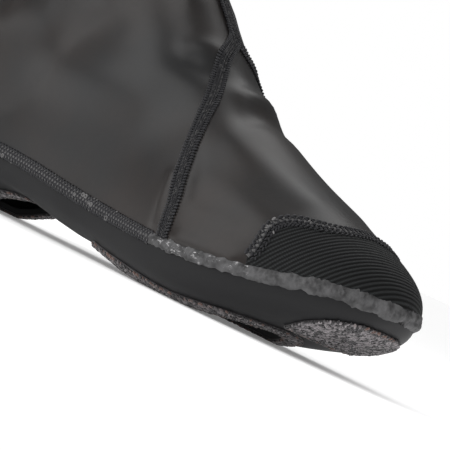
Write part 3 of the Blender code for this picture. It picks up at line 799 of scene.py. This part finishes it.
def finished(tree, shader, tone, rough=None):
    """Feed the shader's colour and roughness."""
    tree.links.new(tone, shader.inputs["Base Color"])
    if rough is not None:
        feed(tree, shader.inputs["Roughness"], rough)


def bumped(tree, shader, height, strength, distance):
    """Feed a height into the shader's normal."""
    bump = node(tree, "Bump", Height=height, Strength=strength, Distance=distance)
    tree.links.new(bump.outputs["Normal"], shader.inputs["Normal"])


def coated_fabric(colours):
    """Satin coated fabric: dark grey with a painted warm reflection in slow noise patches, and a fine grain.
    """
    material, tree, shader = start("coated_fabric", Specular_IOR_Level=0.36, Coat_Weight=0.10,
                                   Coat_Roughness=0.30)
    grain = effect(tree, "surface_grain", Grain_Scale=1500.0, Stain_Scale=15.0, Mix=0.4)
    # Painted warm reflection: the slow stain noise blends the fabric towards the warm colour in patches.
    slow = ramp(tree, grain.outputs["Stain"], (0.36, 0.0), (0.66, 1.0))
    tint = blend_colours(tree, slow, tuple(colours.fabric), tuple(colours.fabric_warm_reflection))
    mottle = node(tree, "TexNoise", Vector=object_place(tree), Scale=420.0, Detail=3.0)
    spots = ramp(tree, mottle.outputs["Fac"], (0.3, 0.25), (0.7, 0.0))
    darker = blend_colours(tree, spots, tint, scaled(colours.fabric, 0.55))
    finished(tree, shader, darker, ranged(tree, grain.outputs["Stain"], 0.0, 1.0, 0.33, 0.46))
    bumped(tree, shader, grain.outputs["Height"], 0.16, 0.0002)
    return material


def sole_fabric(colours):
    """The smooth dark panel under the foot, a little rubbed along its lower edge."""
    material, tree, shader = start("sole_panel_rubber", Specular_IOR_Level=0.28)
    grain = effect(tree, "surface_grain", Grain_Scale=1100.0, Stain_Scale=30.0, Mix=0.55)
    place = node(tree, "SeparateXYZ", Vector=object_place(tree))
    near_floor = ranged(tree, place.outputs["Z"], 0.0, 0.008, 1.0, 0.0)
    rubbed = node(tree, "Math", set_operation="MULTIPLY", i0=near_floor, i1=grain.outputs["Stain"])
    tone = blend_colours(tree, rubbed.outputs["Value"], tuple(colours.panel), scaled(colours.panel, 2.6))
    finished(tree, shader, tone, ranged(tree, grain.outputs["Stain"], 0.0, 1.0, 0.46, 0.62))
    bumped(tree, shader, grain.outputs["Height"], 0.14, 0.0002)
    return material


def thread(name, dark, light, share, sheen):
    """Seam thread: mostly dark, with a share of strands painted lighter as glints, twisted fibres and a soft
    sheen.
    """
    material, tree, shader = start(name, Sheen_Weight=sheen, Sheen_Roughness=0.4, Specular_IOR_Level=0.45)
    tone = node(tree, "Attribute", set_attribute_name="tone").outputs["Fac"]
    fibres = node(tree, "TexNoise", Vector=object_place(tree), Scale=3200.0, Detail=3.0, Roughness=0.7)
    picked = ramp(tree, tone, (1.0 - share, 0.0), (1.0 - share / 4, 1.0))
    streaked = node(tree, "Math", set_operation="MULTIPLY", i0=picked, i1=fibres.outputs["Fac"])
    # Painted glints: the picked strands are streaked towards the pale glint colour.
    mixed = blend_colours(tree, ranged(tree, streaked.outputs["Value"], 0.0, 0.6), dark, light)
    finished(tree, shader, mixed, ranged(tree, fibres.outputs["Fac"], 0.0, 1.0, 0.42, 0.72))
    bumped(tree, shader, fibres.outputs["Fac"], 0.5, 0.0002)
    return material


def seam_ground(colours):
    """The glossier fabric that shows through the holes of the stitching, painted pale to stand in for the
    glints seen there.
    """
    material, tree, shader = start("seam_ground", Specular_IOR_Level=0.6)
    grain = effect(tree, "surface_grain", Grain_Scale=900.0, Stain_Scale=300.0, Mix=0.3)
    # Painted glints: the ground is coloured from a quarter to three quarters of the glint colour.
    tone = blend_colours(tree, grain.outputs["Stain"], scaled(colours.thread_painted_glint, 0.25),
                         scaled(colours.thread_painted_glint, 0.75))
    finished(tree, shader, tone, ranged(tree, grain.outputs["Stain"], 0.0, 1.0, 0.3, 0.5))
    bumped(tree, shader, grain.outputs["Height"], 0.3, 0.0003)
    return material


def sealant(colours):
    """Grey sealant, smeared and scuffed, with pale chips along its lateral run."""
    material, tree, shader = start("sealant", Specular_IOR_Level=0.4)
    grain = effect(tree, "surface_grain", Grain_Scale=700.0, Stain_Scale=190.0, Mix=0.35)
    along = node(tree, "SeparateXYZ", Vector=object_place(tree))
    behind = ranged(tree, along.outputs["X"], 0.098, 0.118, 1.0, 0.12)
    flecks = effect(tree, "scuff_flecks", Fleck_Scale=820.0, Patch_Scale=260.0, Amount=behind)
    shade = ramp(tree, grain.outputs["Stain"], (0.36, 0.45), (0.52, 1.0), (0.66, 1.35))
    base = node(tree, "Mix", set_data_type="RGBA", set_blend_type="MULTIPLY",
                i0=1.0, i6=(*colours.seal, 1.0), i7=shade)
    tone = blend_colours(tree, flecks.outputs["Mask"], base.outputs[2], tuple(colours.seal_fleck))
    finished(tree, shader, tone, ranged(tree, grain.outputs["Stain"], 0.0, 1.0, 0.45, 0.75))
    bumped(tree, shader, grain.outputs["Height"], 0.35, 0.0004)
    return material


def ribbed_fabric(colours):
    """Near black ribbed fabric: each rib a row of small beads, with painted highlights on their tops and
    painted shade in the grooves between them.
    """
    material, tree, shader = start("ribbed_cap_fabric", Sheen_Weight=0.05, Sheen_Roughness=0.35,
                                   Specular_IOR_Level=0.25, Roughness=0.7)
    flat = node(tree, "SeparateXYZ", Vector=node(tree, "UVMap").outputs["UV"])
    waves = []
    for axis, pitch in (("X", 1.0), ("Y", 0.55)):
        angle = node(tree, "Math", set_operation="MULTIPLY", i0=flat.outputs[axis], i1=2 * math.pi / pitch)
        wave = node(tree, "Math", set_operation="COSINE", i0=angle.outputs["Value"])
        waves.append(ranged(tree, wave.outputs["Value"], -1.0, 1.0))
    # Painted shading: the bead and rib tops are painted lighter as highlights and the grooves darker as
    # shade; the same pattern drives the bump.
    beads = node(tree, "Math", set_operation="MULTIPLY", i0=waves[0], i1=waves[1])
    painted_crown_highlight = ranged(tree, waves[0], 0.35, 1.0, 0.0, 0.5)
    lit = node(tree, "Math", set_operation="MULTIPLY_ADD", i0=beads.outputs["Value"], i1=0.5, i2=painted_crown_highlight)
    tone = blend_colours(tree, lit.outputs["Value"], scaled(colours.cap, 0.35), scaled(colours.cap, 3.0))
    finished(tree, shader, tone)
    bumped(tree, shader, lit.outputs["Value"], 0.6, 0.0003)
    return material


def knit_yarn(colours):
    """Coarse knit yarn: dark, with pale glints and rusty fibres at the knit's edges."""
    material, tree, shader = start("knit_yarn", Sheen_Weight=0.35, Sheen_Roughness=0.5,
                                   Specular_IOR_Level=0.45, Roughness=0.7)
    tone = node(tree, "Attribute", set_attribute_name="tone").outputs["Fac"]
    edge = node(tree, "Attribute", set_attribute_name="edge").outputs["Fac"]
    fibres = node(tree, "TexNoise", Vector=object_place(tree), Scale=1900.0, Detail=4.0, Roughness=0.75)
    streak = ramp(tree, fibres.outputs["Fac"], (0.34, 0.35), (0.56, 1.0))
    pale_share = ramp(tree, tone, (0.50, 0.02), (0.72, 0.75), (1.0, 1.0))
    pale = node(tree, "Math", set_operation="MULTIPLY", i0=pale_share, i1=streak)
    body = blend_colours(tree, pale.outputs["Value"], tuple(colours.knit), tuple(colours.knit_light))
    rusty_share = ramp(tree, tone, (0.60, 0.0), (0.72, 1.0))
    rusty = node(tree, "Math", set_operation="MULTIPLY", i0=rusty_share, i1=edge)
    finished(tree, shader, blend_colours(tree, rusty.outputs["Value"], body, tuple(colours.knit_red)))
    bumped(tree, shader, fibres.outputs["Fac"], 0.7, 0.0003)
    return material


def brushed_lining(colours):
    """Soft brushed lining inside the upper."""
    material, tree, shader = start("brushed_lining", Sheen_Weight=0.5, Sheen_Roughness=0.6, Roughness=0.92)
    grain = effect(tree, "surface_grain", Grain_Scale=900.0, Stain_Scale=120.0, Mix=0.15)
    tone = blend_colours(tree, grain.outputs["Stain"], scaled(colours.lining, 0.6),
                         scaled(colours.lining, 1.7))
    finished(tree, shader, tone)
    bumped(tree, shader, grain.outputs["Height"], 0.8, 0.0006)
    return material


def finishes():
    """Make the shared effects and every material once."""
    if "surface_grain" in bpy.data.node_groups:
        return
    colours = bpy.context.scene.overshoe_colours
    grain_group()
    fleck_group()
    coated_fabric(colours)
    sole_fabric(colours)
    # Both threads paint a share of their strands with the glint colour, the tape's more often and dimmer.
    thread("seam_thread", tuple(colours.thread), tuple(colours.thread_painted_glint), 0.06, sheen=0.12)
    thread("tape_thread", scaled(colours.thread, 0.8), scaled(colours.thread_painted_glint, 0.3), 0.4, sheen=0.03)
    seam_ground(colours)
    sealant(colours)
    ribbed_fabric(colours)
    knit_yarn(colours)
    brushed_lining(colours)


def finish_named(name):
    """Return a material by its name, made first if need be."""
    finishes()
    return bpy.data.materials[name]


# Where the seams run

def seam_path(toe, count):
    """Return the path of the lower seam round the toe or round the heel, between the seal's two ends."""
    ends = np.array([-1.0, 1.0])
    back, front = spine(np.zeros(2), ends, 0.0)
    edge = (2 * SEAL_START * LENGTH - front - back) / (front - back)
    quarter = math.pi / 2
    side = 1 if toe else -1
    straight = np.linspace(edge, side, count // 3)
    turns = np.linspace(-quarter if toe else 3 * quarter, quarter, count // 2)[1:-1]
    stations = np.concatenate([straight, np.full(len(turns), side), straight[::-1]])
    lateral, medial = np.full(len(straight), -quarter), np.full(len(straight), quarter)
    directions = np.concatenate([lateral, turns, medial])
    return ring(np.zeros((1, 1)), stations[None], directions[None])[0]


def tape_paths(count):
    """Return the paths of the lateral, medial and front taped seams.

    The side ones turn down under the sealant at their feet, and run into the front one at their heads.
    """
    rows = np.array(TAPE)
    at = np.linspace(0, 1, len(rows))
    u = np.linspace(0, 1, count)
    x = spline(at, rows[:, 0])(u) * LENGTH
    rise = np.radians(spline(at, rows[:, 1])(u))
    close = np.clip((u - TAPE_CLOSES) / (0.97 - TAPE_CLOSES), 0, 1)
    rise = rise - math.radians(TAPE_TUCK) * np.clip(1 - 12 * u, 0, 1)
    rise = rise + (math.pi / 2 - rise) * close**2 * (3 - 2 * close)
    paths = []
    for side in (-1, 1):

        def place(distance):
            return x, side * np.cos(rise) * distance, TAPE_FROM + np.sin(rise) * distance

        paths.append(reach(place, x.shape, far=0.12))
    hem = COLLAR_HEIGHT - bpy.context.scene.overshoe_sizes.hem_height
    z = np.linspace(paths[0][-1, 2] - TAPE_OVERLAP, hem - 0.001, count)

    def ahead(distance):
        return LEG_AXIS * LENGTH + distance, 0 * z, z

    paths.append(reach(ahead, z.shape))
    return paths


def band(path, widths, profile, lift):
    """Return the rows and heights of a band along a path, of these widths and this profile across it."""
    ahead = unit(np.gradient(path, axis=0))
    left = unit(np.cross(normals(path), ahead))
    shares = np.linspace(-0.5, 0.5, len(profile))
    widths = np.broadcast_to(widths, len(path))
    rows = settle(path[None] + left[None] * (shares[:, None] * widths)[..., None])
    return rows, lift + np.array(profile)[:, None] + np.zeros(len(path))


def rough_noise(points, scale, seed=0):
    """Return a smooth noise between about -1 and 1 at each point, from a few waves of mixed directions."""
    random = np.random.default_rng(10 * seed + 7)
    total = np.zeros(points.shape[:-1])
    for _ in range(14):
        way = random.standard_normal(3)
        way *= scale * (0.6 + random.random()) / np.linalg.norm(way)
        total += np.sin(points @ way + random.random() * 2 * math.pi)
    return total / 3.2


class OVERSHOE_OT_upper(bpy.types.Operator):
    """Build the hollow coated upper with its folds, folded hem and lining"""

    bl_idname = "overshoe.upper"
    bl_label = "Upper"

    def execute(self, context):
        sizes = context.scene.overshoe_sizes
        stations, directions = columns(*((72, 40, 84) if FINE else (36, 20, 40)))
        hem = 1 - sizes.hem_height / (COLLAR_HEIGHT - LEG_SEAM_HEIGHT)
        share = np.linspace(0, 1, 118 if FINE else 60)
        in_hem = hem + (1 - hem) * np.array((0.03, 0.08, 0.3, 0.6, 0.9, 1.0))
        levels = np.concatenate([hem * share**1.35, in_hem])
        rows = ring(levels[:, None], stations[None], directions[None], lift=HALF_GAP)
        step = HEM_STEP * np.clip((levels - hem) / (0.08 * (1 - hem)), 0, 1)[:, None]
        piece = sheet("upper_shell", lifted(rows, step + np.zeros(rows.shape[:2])), closed=True)
        piece.data.materials.append(finish_named("coated_fabric"))
        piece.data.materials.append(finish_named("brushed_lining"))
        thicken(piece, sizes.wall, material_offset=1, material_offset_rim=0)
        finish(piece, (), "upper")
        self.hem_stitches(hem, stations, directions)
        return {"FINISHED"}

    def hem_stitches(self, hem, stations, directions):
        """Sew the hem down with two rows of stitches."""
        shape = bead(0.0024, 0.0005, 0.0004)
        parts = []
        for i, level in enumerate((hem + 0.014, hem + 0.030)):
            path = ring(np.full((1, 1), level), stations[None], directions[None])[0]
            places, axes = stitched(path, 0.003, 0.0, 0.0008, closed=True, seed=i)
            parts.append(copies("hem_row", shape, places, axes, tones_for(places, i)))
        finish(joined("hem_stitches", *parts), finish_named("seam_thread"))


class OVERSHOE_OT_sole_panel(bpy.types.Operator):
    """Build the smooth panel under the foot, with its openings for the cleat and the heel"""

    bl_idname = "overshoe.sole_panel"
    bl_label = "Sole panel"

    def execute(self, context):
        stations, directions = columns(*((48, 28, 56) if FINE else (28, 16, 30)))
        lift = -HALF_GAP
        rim = ring(np.zeros((1, 1)), stations[None], directions[None], lift)[0]
        back, front = spine(np.zeros(2), np.array([-1.0, 1.0]), lift)
        x = (front + back) / 2 + stations * (front - back) / 2
        origin = np.stack([x, 0 * x, seam_height(x) + lift], axis=-1)
        outward = unit(rim - origin)
        turns = np.radians(np.linspace(0, 90, 34 if FINE else 18))[:, None, None]
        rays = outward * np.cos(turns) - np.array([0.0, 0.0, 1.0]) * np.sin(turns)

        def place(distance):
            return np.moveaxis(origin + rays * distance[..., None], -1, 0)

        rows = reach(place, rays.shape[:2], far=0.12)
        rows[0] = rim
        piece = sheet("sole_panel_shell", rows, closed=True)
        edit(piece, lambda: bpy.ops.mesh.remove_doubles(threshold=1e-5))
        thicken(piece, context.scene.overshoe_sizes.sole_wall)
        for shape in OPENINGS.values():
            self.cut(piece, opening_outline(*shape, inset=KNIT_RIM, steps=60))
        piece.data.materials.clear()
        finish(piece, finish_named("sole_panel_rubber"), "sole_panel", angle=40.0)
        return {"FINISHED"}

    def cut(self, piece, outline):
        """Cut an opening of this outline through the panel."""
        bpy.ops.object.select_all(action="DESELECT")
        bpy.ops.mesh.primitive_circle_add(vertices=len(outline), fill_type="NGON")
        cutter = bpy.context.object
        corners = np.concatenate([outline, np.full((len(outline), 1), -0.01)], axis=1)
        cutter.data.vertices.foreach_set("co", (corners + REST).ravel())
        edit(cutter, lambda: bpy.ops.mesh.extrude_region_move(TRANSFORM_OT_translate={"value": (0, 0, 0.05)}),
             lambda: bpy.ops.mesh.select_all(action="SELECT"),
             lambda: bpy.ops.mesh.normals_make_consistent(inside=False))
        apply_modifier(piece, "BOOLEAN", operation="DIFFERENCE", solver="EXACT", object=cutter)
        bpy.data.objects.remove(cutter, do_unlink=True)


def opening_outline(table, start, middle, length, width, inset, steps):
    """Return the plan outline of an opening's knit, from its rear end round, narrowed by an inset."""
    lateral, medial = curves(table, round_ends=True)
    u = np.linspace(0, 1, steps + 1)
    along = start * LENGTH + inset + (length - 2 * inset) * (1 - np.cos(math.pi * u)) / 2
    half = width / 2 - inset
    near = np.stack([along, middle * BALL_WIDTH - half * lateral(u)], axis=-1)
    far = np.stack([along, middle * BALL_WIDTH + half * medial(u)], axis=-1)
    return np.concatenate([near, far[-2:0:-1]])


class OVERSHOE_OT_lower_seam(bpy.types.Operator):
    """Sew the flat seam round the heel: three rows of dark loops over a paler ground"""

    bl_idname = "overshoe.lower_seam"
    bl_label = "Lower seam"

    def execute(self, context):
        pitch = context.scene.overshoe_sizes.seam_pitch
        path = seam_path(False, 300 if FINE else 150)
        rows, lift = band(path, 0.0052, SEAM_BAND, 0.0003)
        ground = thicken(sheet("lower_seam_ground", lifted(rows, lift)), 0.0005)
        finish(ground, finish_named("seam_ground"), "lower_seam_stitching")
        shape = loop(0.94 * pitch, 0.0018, 0.00040)
        parts = []
        for i, (offset, start) in enumerate(SEAM_ROWS):
            places, axes = stitched(path, pitch, offset, 0.0006, turn=0.25, shift=start * pitch,
                                    jitter=0.10, seed=i, size_spread=0.05)
            parts.append(copies("row", shape, places, axes, tones_for(places, i)))
        knot = bead(0.0013, 0.0009, 0.0009)
        for seed, (offset, turn) in enumerate(SEAM_EDGES, 9):
            places, axes = stitched(path, pitch, offset, 0.0004, turn=turn, jitter=0.15, seed=seed,
                                    size_spread=0.1)
            parts.append(copies("edge", knot, places, axes, tones_for(places, seed)))
        finish(joined("lower_seam_threads", *parts), finish_named("seam_thread"))
        return {"FINISHED"}


class OVERSHOE_OT_toe_seal(bpy.types.Operator):
    """Smear the lumpy sealant over the seam round the toe"""

    bl_idname = "overshoe.toe_seal"
    bl_label = "Toe seal"

    def execute(self, context):
        path = seam_path(True, 620 if FINE else 260)
        run = np.linspace(-1, 1, len(path))
        front = np.clip(1.25 - 1.7 * np.abs(run), 0, 1)
        ragged = 0.0006 * rough_noise(path, 900) + 0.0004 * rough_noise(path, 2400, 1)
        widths = 0.0054 + 0.0026 * front + ragged
        bulge = np.array(SEAL_BULGE)
        rows, lift = band(path, widths, 0.0013 * bulge, 0.0002)
        lumps = 0.00028 * rough_noise(rows, 1500, 2) + 0.00022 * rough_noise(rows, 3300, 3)
        lift = lift + lumps * bulge[:, None]
        piece = thicken(sheet("toe_seal_bead", lifted(rows, lift)), 0.0004)
        finish(piece, finish_named("sealant"), "toe_seal")
        return {"FINISHED"}


class OVERSHOE_OT_toe_cap(bpy.types.Operator):
    """Build the ribbed toe cap and the looped stitching along its arched edge"""

    bl_idname = "overshoe.toe_cap"
    bl_label = "Toe cap"

    def execute(self, context):
        sizes = context.scene.overshoe_sizes
        (edge,) = curves(CAP, round_ends=False)
        turns = np.linspace(-CAP[-1][0], CAP[-1][0], 300 if FINE else 120)
        back, front = spine(np.zeros(2), np.array([-1.0, 1.0]), 0.0)
        past = np.maximum(np.abs(turns) - 90, 0)
        stations = 1 - np.radians(past) * END_ROUND * BALL_WIDTH / (front - back)
        directions = np.radians(np.clip(turns, -90, 90))
        levels = np.linspace(0, 1, 96 if FINE else 40)[:, None] * edge(np.abs(turns))
        middle = np.stack([spine(levels[:, i], stations[i], CAP_LIFT) for i in range(len(turns))], axis=1)
        ahead, across = np.cos(directions)[None], np.sin(directions)[None]
        rows = along_level(middle, 0.0, ahead, across, levels, CAP_LIFT)
        rib, along = self.ribs(rows, sizes.rib_pitch)
        crest = 0.00030 * np.abs(np.cos(math.pi * rib))**0.7
        piece = sheet("toe_cap_ribs", lifted(rows, 0.0004 + crest))
        self.rib_map(piece, rib, along)
        thicken(piece, 0.0006)
        finish(piece, finish_named("ribbed_cap_fabric"), "toe_cap", angle=80.0)
        self.edge_loops(rows[-1], sizes.edge_pitch)
        return {"FINISHED"}

    def ribs(self, rows, pitch):
        """Return each point's place across the ribs and along them, in ribs."""
        x, y, z = np.moveaxis(rows, -1, 0)
        slope = math.radians(RIB_SLOPE)
        across = (z * math.cos(slope) - x * math.sin(slope)) / pitch
        ahead = x * math.cos(slope) + z * math.sin(slope) - RIB_CENTRE
        along = RIB_RADIUS * np.arctan2(y, ahead) / pitch
        return across, along

    def rib_map(self, piece, rib, along):
        """Write the place across and along the ribs into the UV map."""
        flat = np.stack([rib, along], axis=-1).reshape(-1, 2)
        corners = np.empty(len(piece.data.loops), int)
        piece.data.loops.foreach_get("vertex_index", corners)
        piece.data.uv_layers[0].data.foreach_set("uv", flat[corners].ravel())

    def edge_loops(self, path, pitch):
        """Sew the arched edge with a rope of large loops, crossed rungs and finer inner rows."""
        ground, lift = band(path, 0.0036, FLAT_BAND, 0.0003)
        piece = thicken(sheet("cap_edge_ground", lifted(ground, lift)), 0.0005)
        finish(piece, finish_named("seam_ground"))
        shapes = {
            "rope": bead(0.0027, 0.0017, 0.0015, around=8, rings=6),
            "rung": bead(0.0024, 0.0007, 0.0009),
            "inner": bead(0.0024, 0.0014, 0.0012, around=8, rings=6),
            "fine": bead(0.0021, 0.0010, 0.0010),
        }
        parts = []
        for seed, (kind, offset, turn, start, rate) in enumerate(CAP_EDGE_ROWS, 20):
            places, axes = stitched(path, pitch * rate, offset, 0.0009, turn=turn, shift=start * pitch,
                                    jitter=0.12, seed=seed, size_spread=0.07)
            parts.append(copies("row", shapes[kind], places, axes, tones_for(places, seed)))
        finish(joined("cap_edge_threads", *parts), finish_named("seam_thread"))


class OVERSHOE_OT_seam_tapes(bpy.types.Operator):
    """Sew the overlocked seams up both sides and up the front"""

    bl_idname = "overshoe.seam_tapes"
    bl_label = "Taped seams"

    def execute(self, context):
        pitch = context.scene.overshoe_sizes.tape_pitch
        names = ("side_seam_tape_lateral", "side_seam_tape_medial", "front_seam_tape")
        comb = bead(0.0025, 0.0011, 0.0012)
        fine = bead(0.0015, 0.0007, 0.0007)
        for index, (name, path) in enumerate(zip(names, tape_paths(160 if FINE else 80))):
            over = 0.0004 if name == "front_seam_tape" else 0.0
            rows, lift = band(path, 0.0056, FLAT_BAND, 0.0003 + over)
            ground = thicken(sheet(name + "_ground", lifted(rows, lift)), 0.0005)
            finish(ground, finish_named("tape_thread"), name)
            parts = []
            for side in (-1, 1):
                places, axes = stitched(path, pitch, side * COMB_OFFSET, 0.0007 + over,
                                        turn=math.pi / 2 - side * COMB_LEAN, jitter=0.08,
                                        seed=index * 7 + side + 1, size_spread=0.06)
                dull = {"tone": np.full(len(places), 0.1)}
                parts.append(copies("comb", comb, places, axes, dull))
            finish(joined(name + "_combs", *parts), finish_named("seam_thread"))
            parts = []
            for seed, (offset, turn) in enumerate(TAPE_ROWS, index * 7):
                places, axes = stitched(path, pitch * 0.62, offset, 0.0008 + over, turn=turn,
                                        jitter=0.15, seed=seed + 3, size_spread=0.1)
                parts.append(copies("fine", fine, places, axes, tones_for(places, seed)))
            finish(joined(name + "_threads", *parts), finish_named("tape_thread"))
        return {"FINISHED"}


class OVERSHOE_OT_knit(bpy.types.Operator):
    """Knit the coarse rims of the two openings and the patch under the toe"""

    bl_idname = "overshoe.knit"
    bl_label = "Knit"

    def execute(self, context):
        pitch = context.scene.overshoe_sizes.knit_pitch
        for name, shape in OPENINGS.items():
            insets = np.linspace(0.0, KNIT_RIM, 6)
            outlines = [opening_outline(*shape, inset=inset, steps=60) for inset in insets]
            rows = self.under(np.stack(outlines))
            base = thicken(sheet(name + "_base", rows + normals(rows) * 0.0006, closed=True), 0.0005)
            finish(base, finish_named("knit_yarn"), name)
            self.loops(name, rows, pitch, closed=True)
        rows = self.patch_rows()
        base = thicken(sheet("toe_knit_patch_base", rows + normals(rows) * 0.0006), 0.0005)
        finish(base, finish_named("knit_yarn"), "toe_knit_patch")
        self.loops("toe_knit_patch", rows, pitch, closed=False)
        return {"FINISHED"}

    def under(self, plan):
        """Return the points of the sole's surface below the given places in plan."""
        x, y = np.moveaxis(plan, -1, 0)
        top = seam_height(x)

        def place(distance):
            return x, y, top - distance

        return reach(place, x.shape, far=0.08)

    def patch_rows(self):
        """Return the surface points of the toe patch, straight behind and round in front."""
        (half_width,) = curves(TOE_PATCH, round_ends=False)
        forward, across = np.meshgrid(np.linspace(0, 1, 24), np.linspace(-1, 1, 36), indexing="ij")
        x = TOE_PATCH_START * LENGTH
        height = float(seam_height(x))
        low = float(LOW(turned(TOE_PATCH_START))) * INSTEP_HEIGHT
        fan = TOE_PATCH_LENGTH * forward * (1 - PATCH_ROUND * across**2 * forward)
        side = TOE_PATCH_WIDTH / 2 * across * half_width(forward)
        rays = unit(np.stack([fan, side, (low - height) * (1 - PATCH_RISE * forward)], axis=-1))

        def place(distance):
            across = rays[..., 1] * distance + TOE_PATCH_MIDDLE
            return x + rays[..., 0] * distance, across, height + rays[..., 2] * distance

        return reach(place, fan.shape, far=0.09)

    def loops(self, name, rows, pitch, closed):
        """Cover the rows with pairs of slanting yarn segments, course by course."""
        yarn = bead(0.0025, 0.0011, 0.0010)
        height = np.linalg.norm(np.diff(rows, axis=0), axis=-1).sum(axis=0).max()
        courses = max(int(height / (pitch * 0.66)), 3)
        parts = []
        for i in range(courses):
            share = (i + 0.5) / courses * (rows.shape[0] - 1)
            low = int(share)
            path = rows[low] + (rows[min(low + 1, rows.shape[0] - 1)] - rows[low]) * (share - low)
            near_edge = max(0.0, 1 - min(i, courses - 1 - i) / 1.5)
            for side in (-1, 1):
                points, ahead = even(path, pitch, closed)
                out = normals(points)
                left = unit(np.cross(out, ahead))
                random = np.random.default_rng(i * 2 + (side > 0))
                loose = 0.00025 * random.standard_normal((len(points), 1))
                points = settle(points + ahead * side * pitch / 4 + left * loose)
                out = normals(points)
                turns = side * 0.95 + 0.28 * random.standard_normal(len(points))
                sizes = np.clip(1 + 0.15 * random.standard_normal((len(points), 1, 1)), 0.6, 1.4)
                places = points + out * (0.00095 + 0.00012 * random.uniform(-1, 1, (len(points), 1)))
                tones = {"tone": random.random(len(points)), "edge": np.full(len(points), near_edge)}
                axes = turned_axes(ahead, out, turns, sizes)
                parts.append(copies("course", yarn, places, axes, tones))
        finish(joined(name + "_loops", *parts), finish_named("knit_yarn"))


class OVERSHOE_OT_stage(bpy.types.Operator):
    """Set up the pale floor, the soft lights and the camera"""

    bl_idname = "overshoe.stage"
    bl_label = "Stage"

    def execute(self, context):
        stage = context.scene.overshoe_stage
        a, e, r = stage.azimuth, stage.elevation, stage.roll
        back = Vector((math.sin(a) * math.cos(e), -math.cos(a) * math.cos(e), math.sin(e)))
        right = Vector((math.cos(a), math.sin(a), 0))
        up = back.cross(right)
        cam_right = right * math.cos(r) + up * math.sin(r)
        cam_up = up * math.cos(r) - right * math.sin(r)
        aim = AIM - cam_right * AIM_LEFT + cam_up * AIM_UP
        bpy.ops.object.camera_add()
        camera = context.object
        camera.name = "photo_camera"
        camera.matrix_world = Matrix((cam_right, cam_up, back)).transposed().to_4x4()
        camera.location = aim + back * stage.distance
        camera.data.lens = 409.8
        camera.data.sensor_width = 36.0
        camera.data.clip_start = 0.1
        camera.data.clip_end = 60.0
        context.scene.camera = camera
        self.floor(context)
        for name, (rise, near, sideways, size) in LIGHTS.items():
            place = aim + cam_up * rise + back * near + cam_right * sideways
            self.light(name + "_light", place, aim, size, getattr(stage, name))
        self.light("fill_light", aim + back * 1.2 - cam_right * 0.8 + up * 0.2, aim, 1.0, stage.fill)
        self.world(context)
        context.scene.view_settings.view_transform = "Standard"
        return {"FINISHED"}

    def world(self, context):
        """Light the room evenly, darker where glossy surfaces mirror it, and white behind the shoe."""
        world = bpy.data.worlds.new("studio")
        world.use_nodes = True
        tree = world.node_tree
        path = tree.nodes.new("ShaderNodeLightPath")
        shown = tree.nodes["Background"]
        shown.inputs["Color"].default_value = (1.0, 1.0, 1.0, 1.0)
        shown.inputs["Strength"].default_value = 0.9
        for kind, strength in (("Is Glossy Ray", 0.13), ("Is Camera Ray", 1.0)):
            light = tree.nodes.new("ShaderNodeBackground")
            light.inputs["Color"].default_value = (1.0, 1.0, 1.0, 1.0)
            light.inputs["Strength"].default_value = strength
            mixed = tree.nodes.new("ShaderNodeMixShader")
            tree.links.new(path.outputs[kind], mixed.inputs[0])
            tree.links.new(shown.outputs[0], mixed.inputs[1])
            tree.links.new(light.outputs[0], mixed.inputs[2])
            shown = mixed
        tree.links.new(shown.outputs[0], tree.nodes["World Output"].inputs["Surface"])
        context.scene.world = world

    def floor(self, context):
        """Lay the floor, level with the sole."""
        bpy.ops.object.select_all(action="DESELECT")
        bpy.ops.mesh.primitive_plane_add(size=12.0, location=(0, 0, 0))
        floor = context.object
        floor.name = "studio_floor"
        material, tree, shader = start("pale_floor", Roughness=0.85, Specular_IOR_Level=0.1,
                                       Emission_Strength=0.16, Emission_Color=(1.0, 1.0, 1.0, 1.0))
        noise = node(tree, "TexNoise", Vector=object_place(tree), Scale=8.0)
        tone = tuple(context.scene.overshoe_colours.floor)
        paler = tuple(min(1.0, c) for c in scaled(tone, 1.03))
        finished(tree, shader, blend_colours(tree, noise.outputs["Fac"], tone, paler))
        floor.data.materials.append(material)

    def light(self, name, place, aim, size, power):
        """Hang one soft square light, facing the shoe."""
        bpy.ops.object.light_add(type="AREA", location=place)
        lamp = bpy.context.object
        lamp.name = name
        lamp.data.size = size
        lamp.data.energy = power
        lamp.rotation_euler = (aim - place).to_track_quat("-Z", "Y").to_euler()


class OVERSHOE_PT_panel(bpy.types.Panel):
    """List the overshoe's pieces and finishes"""

    bl_idname = "OVERSHOE_PT_panel"
    bl_label = "Overshoe"
    bl_space_type = "VIEW_3D"
    bl_region_type = "UI"
    bl_category = "Overshoe"

    def draw(self, context):
        layout = self.layout
        for group_name in SETTINGS:
            settings = getattr(context.scene, group_name)
            box = layout.box()
            for key in settings.__annotations__:
                box.prop(settings, key)
        for operator in PIECES:
            layout.operator(operator.bl_idname)


PIECES = (
    OVERSHOE_OT_upper,
    OVERSHOE_OT_sole_panel,
    OVERSHOE_OT_lower_seam,
    OVERSHOE_OT_toe_seal,
    OVERSHOE_OT_toe_cap,
    OVERSHOE_OT_seam_tapes,
    OVERSHOE_OT_knit,
    OVERSHOE_OT_stage,
)
SETTINGS = {
    "overshoe_sizes": OvershoeSizes,
    "overshoe_colours": OvershoeColours,
    "overshoe_stage": OvershoeStage,
}


def register():
    """Register the settings, operators and panel."""
    for item in (*SETTINGS.values(), *PIECES, OVERSHOE_PT_panel):
        bpy.utils.register_class(item)
    for key, item in SETTINGS.items():
        setattr(bpy.types.Scene, key, PointerProperty(type=item))


def unregister():
    """Remove what register added."""
    for key in SETTINGS:
        delattr(bpy.types.Scene, key)
    for item in (OVERSHOE_PT_panel, *reversed(PIECES), *reversed(SETTINGS.values())):
        bpy.utils.unregister_class(item)


def main():
    register()
    for operator in PIECES:
        area, name = operator.bl_idname.split(".")
        getattr(getattr(bpy.ops, area), name)()


if __name__ == "__main__":
    main()
